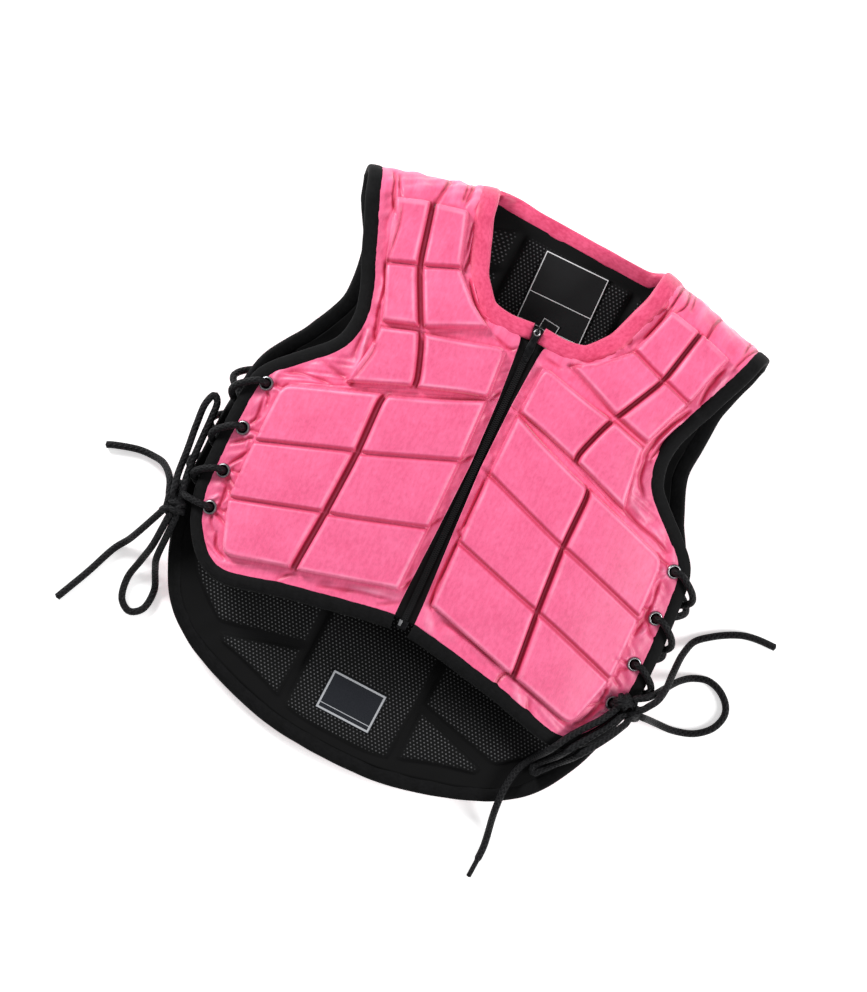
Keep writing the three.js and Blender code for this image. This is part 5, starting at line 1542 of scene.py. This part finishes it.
def tooth_shape():
    bpy.ops.mesh.primitive_cube_add(size=1)
    bpy.ops.transform.resize(value=(2.5 * MM, 1.0 * MM, 2.0 * MM), center_override=(0, 0, 0))
    bpy.ops.object.mode_set(mode="EDIT")
    bpy.ops.mesh.select_all(action="SELECT")
    bpy.ops.mesh.bevel(offset=0.00032, segments=1)


tooth = shaped("tooth", tooth_shape)
PITCH_TEETH = 1.55
places = []
for side in (-1, 1):
    start = ZIP_BOTTOM + (0 if side < 0 else PITCH_TEETH / 2)
    for y in np.arange(start, ZIP_TOP - 0.5, PITCH_TEETH):
        places.append(standing_at(on_middle, side * 1.15, y, 0.0))
teeth = copies("zip_teeth", tooth, places, plastic, smooth=False)
dressed(teeth, "zip_tape", "zip_chain")

# %% [markdown]
# The slider is two plates on a post, with a small bridge on top for the pull. Plates start as
# blocks that are narrowed at one end and bevelled at their upright edges.

# %% Slider
SLIDER_Y = ZIP_TOP - 8.5
PIN_Y = SLIDER_Y + 3.3
SLIDER_LOW = CHAIN_THICK / 2 + 0.3
SLIDER_HIGH = SLIDER_LOW + 2.6
PIN_UP = SLIDER_HIGH + 0.3 + 2.0


def plate_shape(wide, long, thick, narrow, corner):
    """A plate with rounded corners, its lower end narrowed."""
    def build():
        bpy.ops.mesh.primitive_cube_add(size=1)
        bpy.ops.transform.resize(
            value=(wide * MM, long * MM, thick * MM), center_override=(0, 0, 0))
        bpy.ops.object.transform_apply(scale=True)
        bpy.ops.object.mode_set(mode="EDIT")
        net = bmesh.from_edit_mesh(bpy.context.active_object.data)
        for vertex in net.verts:
            vertex.select_set(vertex.co.y < 0)
        net.select_flush_mode()
        bpy.ops.transform.resize(value=(narrow, 1, 1), center_override=(0, 0, 0))
        net = bmesh.from_edit_mesh(bpy.context.active_object.data)
        for edge in net.edges:
            upright = abs(edge.verts[0].co.z - edge.verts[1].co.z) > thick * MM * 0.5
            edge.select_set(upright)
        bpy.ops.mesh.bevel(offset=corner * MM, segments=5)
    return build


def placed(source, matrix, material, name, angle=35):
    """Source's mesh moved to its place, with crisp edges kept crisp."""
    bevel = source.modifiers.new("soft_edges", "BEVEL")
    bevel.width = 0.00022
    bevel.segments = 2
    bevel.limit_method = "ANGLE"
    bevel.angle_limit = math.radians(40)
    bpy.ops.object.select_all(action="DESELECT")
    source.select_set(True)
    bpy.context.view_layer.objects.active = source
    bpy.ops.object.modifier_apply(modifier=bevel.name)
    source.data.transform(Matrix(matrix.tolist()))
    source.data.materials.clear()
    source.data.materials.append(material.material)
    bpy.ops.object.shade_smooth_by_angle(angle=math.radians(angle))
    source.name = name
    source.select_set(False)
    return source


slider_plates = []
for up, tall in ((SLIDER_LOW + 0.55, 1.1), (SLIDER_HIGH - 0.5, 1.0)):
    plate = shaped("plate", plate_shape(7.4, 11, tall, 0.72, 2.2))
    slider_plates.append(placed(
        plate, standing_at(on_middle, 0, SLIDER_Y, up), black_metal, "slider_plate"))


def neck_shape():
    bpy.ops.mesh.primitive_cylinder_add(vertices=24, radius=1.6 * MM, depth=2.4 * MM)


post = placed(shaped("post", neck_shape), standing_at(
    on_middle, 0, SLIDER_Y + 1.5, (SLIDER_LOW + SLIDER_HIGH) / 2), black_metal, "slider_post")


def bridge_shape():
    bpy.ops.mesh.primitive_torus_add(
        major_radius=3.0 * MM, minor_radius=0.75 * MM, major_segments=32, minor_segments=12,
        rotation=(math.pi / 2, 0, math.pi / 2))
    bpy.ops.object.transform_apply(rotation=True)
    bpy.ops.transform.resize(value=(1.3, 1.0, 0.93), center_override=(0, 0, 0))
    bpy.ops.object.transform_apply(scale=True)
    bpy.ops.object.mode_set(mode="EDIT")
    bpy.ops.mesh.select_all(action="SELECT")
    bpy.ops.mesh.bisect(
        plane_co=(0, 0, -0.0004), plane_no=(0, 0, 1), use_fill=True, clear_inner=True)


bridge = placed(shaped("bridge", bridge_shape), standing_at(
    on_middle, 0, PIN_Y - 0.6, SLIDER_HIGH), black_metal, "slider_bridge")


def joined(pieces, name):
    bpy.ops.object.select_all(action="DESELECT")
    for item in pieces:
        item.select_set(True)
    bpy.context.view_layer.objects.active = pieces[0]
    bpy.ops.object.join()
    whole = bpy.context.active_object
    whole.name = name
    whole.select_set(False)
    return whole


slider = joined([*slider_plates, post, bridge], "slider")
dressed(slider, "dark_metal", "zip_slider")

# %% [markdown]
# The pull is a blade with a hole cut through it, and a bright ring that goes round the bridge.
# It is the one piece that moves, so it rides on a body of its own.


# %% Pull
def ring_shape():
    bpy.ops.mesh.primitive_torus_add(
        major_radius=2.1 * MM, minor_radius=0.62 * MM, major_segments=36, minor_segments=12)


def blade_shape():
    bpy.ops.mesh.primitive_cube_add(size=1)
    bpy.ops.transform.resize(value=(6.4 * MM, 22 * MM, 1.2 * MM), center_override=(0, 0, 0))
    bpy.ops.object.transform_apply(scale=True)
    bpy.ops.object.mode_set(mode="EDIT")
    bpy.ops.mesh.select_all(action="SELECT")
    bpy.ops.mesh.subdivide(number_cuts=1)
    net = bmesh.from_edit_mesh(bpy.context.active_object.data)
    for vertex in net.verts:
        vertex.select_set(vertex.co.y > 10 * MM)
    net.select_flush_mode()
    bpy.ops.transform.resize(value=(0.52, 1, 1), center_override=(0, 0, 0))
    net = bmesh.from_edit_mesh(bpy.context.active_object.data)
    for vertex in net.verts:
        vertex.select_set(vertex.co.y < -10 * MM)
    net.select_flush_mode()
    bpy.ops.transform.resize(value=(0.72, 1, 1), center_override=(0, 0, 0))


def hole_shape():
    bpy.ops.mesh.primitive_cylinder_add(
        vertices=28, radius=1.35 * MM, depth=6 * MM, location=(0, -7.6 * MM, 0))


blade = shaped("blade", blade_shape)
hole = shaped("hole", hole_shape)
bpy.ops.object.select_all(action="DESELECT")
bpy.context.view_layer.objects.active = blade
blade.select_set(True)
cut = blade.modifiers.new("hole", "BOOLEAN")
cut.object = hole
cut.operation = "DIFFERENCE"
cut.solver = "EXACT"
bpy.ops.object.modifier_apply(modifier=cut.name)
bpy.data.objects.remove(hole)
pin_place = standing_at(on_middle, 0, PIN_Y, PIN_UP)
blade_place = pin_place.copy()
blade_place[:3, 3] = pin_place[:3, 3] + pin_place[:3, 1] * -0.0138 - pin_place[:3, 2] * 0.0006
ring_place = pin_place.copy()
ring_place[:3, 3] += pin_place[:3, 1] * -0.0013
blade = placed(blade, blade_place, black_metal, "pull_blade")
ring = placed(shaped("ring", ring_shape), ring_place, bright_metal, "pull_ring")
pull = joined([blade, ring], "pull")
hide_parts("zip_pull")
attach(pull, PULL)

# %% [markdown]
# Where the zip ends, its pins go into a small metal box. A bright metal strip on its left side is a
# painted highlight.


# %% Zip box
box = placed(
    shaped("box", plate_shape(7.6, 7, 3.4, 0.94, 1.0)),
    standing_at(on_middle, 0, ZIP_BOTTOM - 3.8, 0.3), black_metal, "box_body")
# A painted highlight: a thin bright metal strip on the box's left side.
box_highlight = placed(
    shaped("box_highlight", plate_shape(2.4, 4.6, 0.8, 0.9, 0.5)),
    standing_at(on_middle, -2.0, ZIP_BOTTOM - 3.2, 2.3), bright_metal, "box_painted_highlight")
dressed(joined([box, box_highlight], "zip_box_end"), "dark_metal", "zip_box")
print("zip made")

# %% [markdown]
# Sixteen eyelets hold the side laces. One ring is turned from its outline and copied.

# %% Eyelets
def ring_profile():
    outline = [(3.55, -1.6), (3.6, 0.5), (3.85, 1.0), (4.35, 1.3), (4.95, 1.15), (5.45, 0.7),
               (5.65, 0.15), (5.3, 0.0), (4.1, -0.1), (4.0, -1.6)]
    data = bpy.data.meshes.new("ring_outline")
    count = len(outline)
    data.from_pydata([(r * MM, 0, h * MM) for r, h in outline], [
        (k, (k + 1) % count) for k in range(count)], [])
    made = bpy.data.objects.new("ring_outline", data)
    bpy.context.scene.collection.objects.link(made)
    bpy.ops.object.select_all(action="DESELECT")
    made.select_set(True)
    bpy.context.view_layer.objects.active = made
    bpy.ops.object.mode_set(mode="EDIT")
    bpy.ops.mesh.select_all(action="SELECT")
    bpy.ops.mesh.spin(
        steps=28, angle=2 * math.pi, center=(0, 0, 0), axis=(0, 0, 1), dupli=False)
    bpy.ops.mesh.select_all(action="SELECT")
    bpy.ops.mesh.remove_doubles(threshold=0.00005)
    bpy.ops.mesh.normals_make_consistent(inside=False)


ring = shaped("ring", ring_profile)
places = []
for side in (-1, 1):
    places += [standing_at(on_front(side), x, y, SHELL + 0.25) for x, y in FRONT_HOLES]
    places += [standing_at(on_back, side * x, y, SHELL + 0.25) for x, y in BACK_HOLES]
eyelets = copies("eyelets", ring, places, dark_metal)
outward(eyelets)
eyelets.data.shade_smooth()
dressed(eyelets, "dark_metal", *[
    f"eyelet_{part}_{name}_{k}" for part in ("front", "back") for name in ("left", "right")
    for k in (1, 2, 3, 4)])

# %% [markdown]
# Each side's lace runs down through the eyelets in two crossing lines and is tied below the last
# one. A knot is the same cord wound round itself.

# %% Lacing
OVER_EDGE = [(0, 5.5, 0), (0.20, 8.8, 0), (0.52, 9, 0.1), (0.86, 8, 0.25), (1.04, 4, 0.38),
             (1.03, -1, 0.48), (0.80, -7, 0.6)]
INTO_EYELET = [(0.46, -10.5, 0.75), (0.14, -9.3, 0.92), (0, -4.5, 1), (0, 0.5, 1)]
KNOTS = {
    "left": [(1.085, 0.981, 37.5), (1.125, 0.995, 36.5)],
    "right": [(0.992, 0.957, 55.5), (1.046, 0.968, 51)],
}


def lacing_line(side, name):
    clear = 1 + 8 + LACE / 2 + 0.3
    fronts = [(on_front(side), x, y, 1, FRONT_WIDE - x + clear) for x, y in FRONT_HOLES]
    backs = [(on_back, side * x, y, side, BACK_WIDE - x + clear) for x, y in BACK_HOLES]

    def at(hole, out, n, offset):
        place, x, y, outward_way, reach = hole
        return place(x + outward_way * out * reach, y + offset, n)

    def crossing(start, end):
        over = [at(start, out, n, (end[2] - start[2]) * along) for out, n, along in OVER_EDGE]
        into = [at(end, out, n, (start[2] - end[2]) * (1 - along)) for out, n, along in INTO_EYELET]
        return over + into

    def chain(holes):
        line = [at(holes[0], out, n, 0) for out, n, along in INTO_EYELET[-2:]]
        for start, end in zip(holes, holes[1:]):
            line += crossing(start, end)
        return line

    def lump(out, down, up):
        point = np.array([side * out * FRONT_WIDE, down_front(down), up])
        return (point + SHIFT) * MM

    knot, beside = [lump(*entry) for entry in KNOTS[name]]
    run = chain([backs[0], fronts[1], backs[2], fronts[3]])
    last = 5 if name == "left" else 2
    run += [at(fronts[3], out, n, 0) for out, n, along in OVER_EDGE[:last]] + [knot]
    other = chain([fronts[0], backs[1], fronts[2], backs[3]])
    other += [at(backs[3], out, n, 0) for out, n, along in OVER_EDGE[:6]]
    other += [knot] if name == "left" else [beside + np.array([5, -4, -13]) * MM, beside]
    return np.array(run[::-1] + other), knot, beside


def wound(centre, wide, long, high, angle, turns, seed):
    """A short coil of cord round a knot's middle: the points of its line."""
    random = np.random.default_rng(seed)
    t = np.linspace(0, 2 * math.pi * turns, int(26 * turns) + 2)
    drift = np.linspace(-0.5, 0.5, len(t))
    ring = np.stack([wide * np.cos(t), drift * long, high * np.sin(t)], 1)
    ring[:, 1] += 0.5 * np.sin(t * 0.7 + random.uniform(0, 6))
    turn = np.array([[math.cos(angle), -math.sin(angle), 0], [math.sin(angle), math.cos(angle), 0],
                     [0, 0, 1]])
    return centre + (ring @ turn.T) * MM


def into_knot(name, centres):
    """Short stretches that carry each free lace's end on into the nearest knot's middle."""
    tubes = []
    for route_name, route in ROUTES.items():
        if f"_{name}_" not in route_name:
            continue
        line = route_points(route)
        ends = [line] if route_name.startswith("end") else [line, line[::-1]]
        for from_end in ends:
            start, ahead = from_end[0], from_end[0] - from_end[2]
            ahead = ahead / np.linalg.norm(ahead)
            target = min(centres, key=lambda centre: np.linalg.norm(centre - start))
            between = (start + target) / 2 + ahead * 1.5 * MM
            path = [start - ahead * 0.5 * MM, start + ahead * 2.5 * MM, between, target]
            tubes.append(tube(
                f"into_{len(tubes)}", curve_through(path, 14), LACE / 2 * MM * 0.985, lace,
                sides=12))
    return tubes


for name, side in (("left", -1), ("right", 1)):
    line, knot, beside = lacing_line(side, name)
    run = tube(f"lacing_{name}_run", curve_through(line, 620), LACE / 2 * MM, lace)
    if name == "left":
        coils = [wound(knot, 5.2, 7.0, 4.4, 0.25, 1.6, 1), wound(knot, 4.6, 5.0, 4.2, 1.5, 1.2, 2),
                 wound(beside, 3.2, 3.6, 3.2, 0.9, 1.0, 3)]
    else:
        coils = [wound(knot, 5.0, 6.0, 3.6, 0.7, 1.6, 4), wound(knot, 4.4, 5.0, 3.4, 2.0, 1.2, 5),
                 wound(beside, 3.4, 3.8, 3.0, 0.3, 1.2, 6)]
    tubes = [tube(f"coil_{k}", coil, LACE / 2 * MM * 0.96, lace, sides=12)
             for k, coil in enumerate(coils)]
    tubes += into_knot(name, [knot, beside])
    dressed(joined([run, *tubes], f"laced_{name}"), "black_lace", f"lacing_{name}")
print("lacing made")

# %% [markdown]
# The two sewn labels are plain: a dark woven patch with its pale frame, and no writing.


# %% Labels
def label_finish(name, ground, frame_colour, frame_in, frame_wide, line_at, wide, tall):
    patch = Finish(name, 0.6, shine=0.25)
    flat = patch.flat_map()
    split = patch.tree.nodes.new("ShaderNodeSeparateXYZ")
    patch.link(flat, split.inputs[0])
    tree = patch.tree
    across = math_node(tree, "ABSOLUTE", split.outputs[0])
    along = math_node(tree, "ABSOLUTE", split.outputs[1])
    from_side = math_node(tree, "SUBTRACT", wide / 2 * MM, across)
    from_end = math_node(tree, "SUBTRACT", tall / 2 * MM, along)
    inset = math_node(tree, "MINIMUM", from_side, from_end)
    off_frame = math_node(tree, "ABSOLUTE", math_node(tree, "SUBTRACT", inset, frame_in * MM))
    on_frame = math_node(tree, "LESS_THAN", off_frame, frame_wide / 2 * MM)
    off_line = math_node(
        tree, "ABSOLUTE", math_node(tree, "SUBTRACT", split.outputs[1], line_at * MM))
    near_line = math_node(tree, "LESS_THAN", off_line, 0.28 * MM)
    inside = math_node(tree, "GREATER_THAN", inset, frame_in * MM)
    on_line = math_node(tree, "MULTIPLY", near_line, inside)
    shown = math_node(tree, "MAXIMUM", on_frame, on_line)
    weave = patch.group(WEAVE, flat, Pitch=0.0007)
    woven = patch.colours(weave, [(0.2, tuple(0.7 * c for c in ground)), (0.9, ground)])
    patch.colour(patch.mixed(shown, woven, frame_colour))
    patch.rough(weave, 0.5, 0.7)
    patch.bump(weave, 0.3, 0.0003)
    return patch


def label_piece(name, across, down, wide, tall, turn, finish, node, seed, lift=0.8):
    x0, y0 = across * BACK_WIDE, down_back(down)
    u = np.linspace(-0.5, 0.5, 31) * wide
    v = np.linspace(-0.5, 0.5, 31) * tall
    net = np.stack(np.meshgrid(u, v), -1)
    heights = -5.0 - 0.22 * soft_noise(net[..., 0], net[..., 1], 34, seed)

    def place(px, py, n):
        cx = x0 + px * math.cos(turn) - py * math.sin(turn)
        cy = y0 + px * math.sin(turn) + py * math.cos(turn)
        return on_back(cx, cy, n)

    piece = cloth_piece(name, place, net, heights - lift, -4.6, finish)
    if node is not None:
        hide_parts(node)
    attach(piece, VEST)
    return piece


neck_finish = label_finish(
    "label_cloth", (0.006, 0.006, 0.007), (0.75, 0.75, 0.76), 1.5, 0.7, -5.0, 54, 57)
tail_finish = label_finish(
    "label_cloth_tail", (0.010, 0.012, 0.018), (0.42, 0.43, 0.45), 1.4, 1.5, -10.5, 45.5, 32)
label_piece("neck_patch", 0.003, 0.113, 54, 57, math.radians(3), neck_finish, "label_neck", 5)
label_piece("tail_patch", 0.001, 0.904, 45.5, 32, 0.0, tail_finish, "label_tail", 6)
size_finish = label_finish(
    "label_cloth_size", (0.004, 0.004, 0.005), (0.62, 0.62, 0.63), 1.0, 0.6, 30.0, 15, 10)
label_piece("size_tag", 0.008, (SHOULDER - 129.5) / BACK_LONG, 15, 10, math.radians(-4), size_finish,
            None, 7, lift=1.5)

# %% [markdown]
# The two linings inside the front are hardly seen. Their plain shapes stay, with a finish of
# dark cloth.

# %% Finishes of the plain linings inside
for node in ("lining_front_left", "lining_front_right"):
    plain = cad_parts[node]
    plain.data.materials.clear()
    plain.data.materials.append(edging_finish(
        f"inner_mesh_{node[-4:]}", (0.003, 0.003, 0.0035), (0.011, 0.011, 0.012), 0.8, 0.1).material)
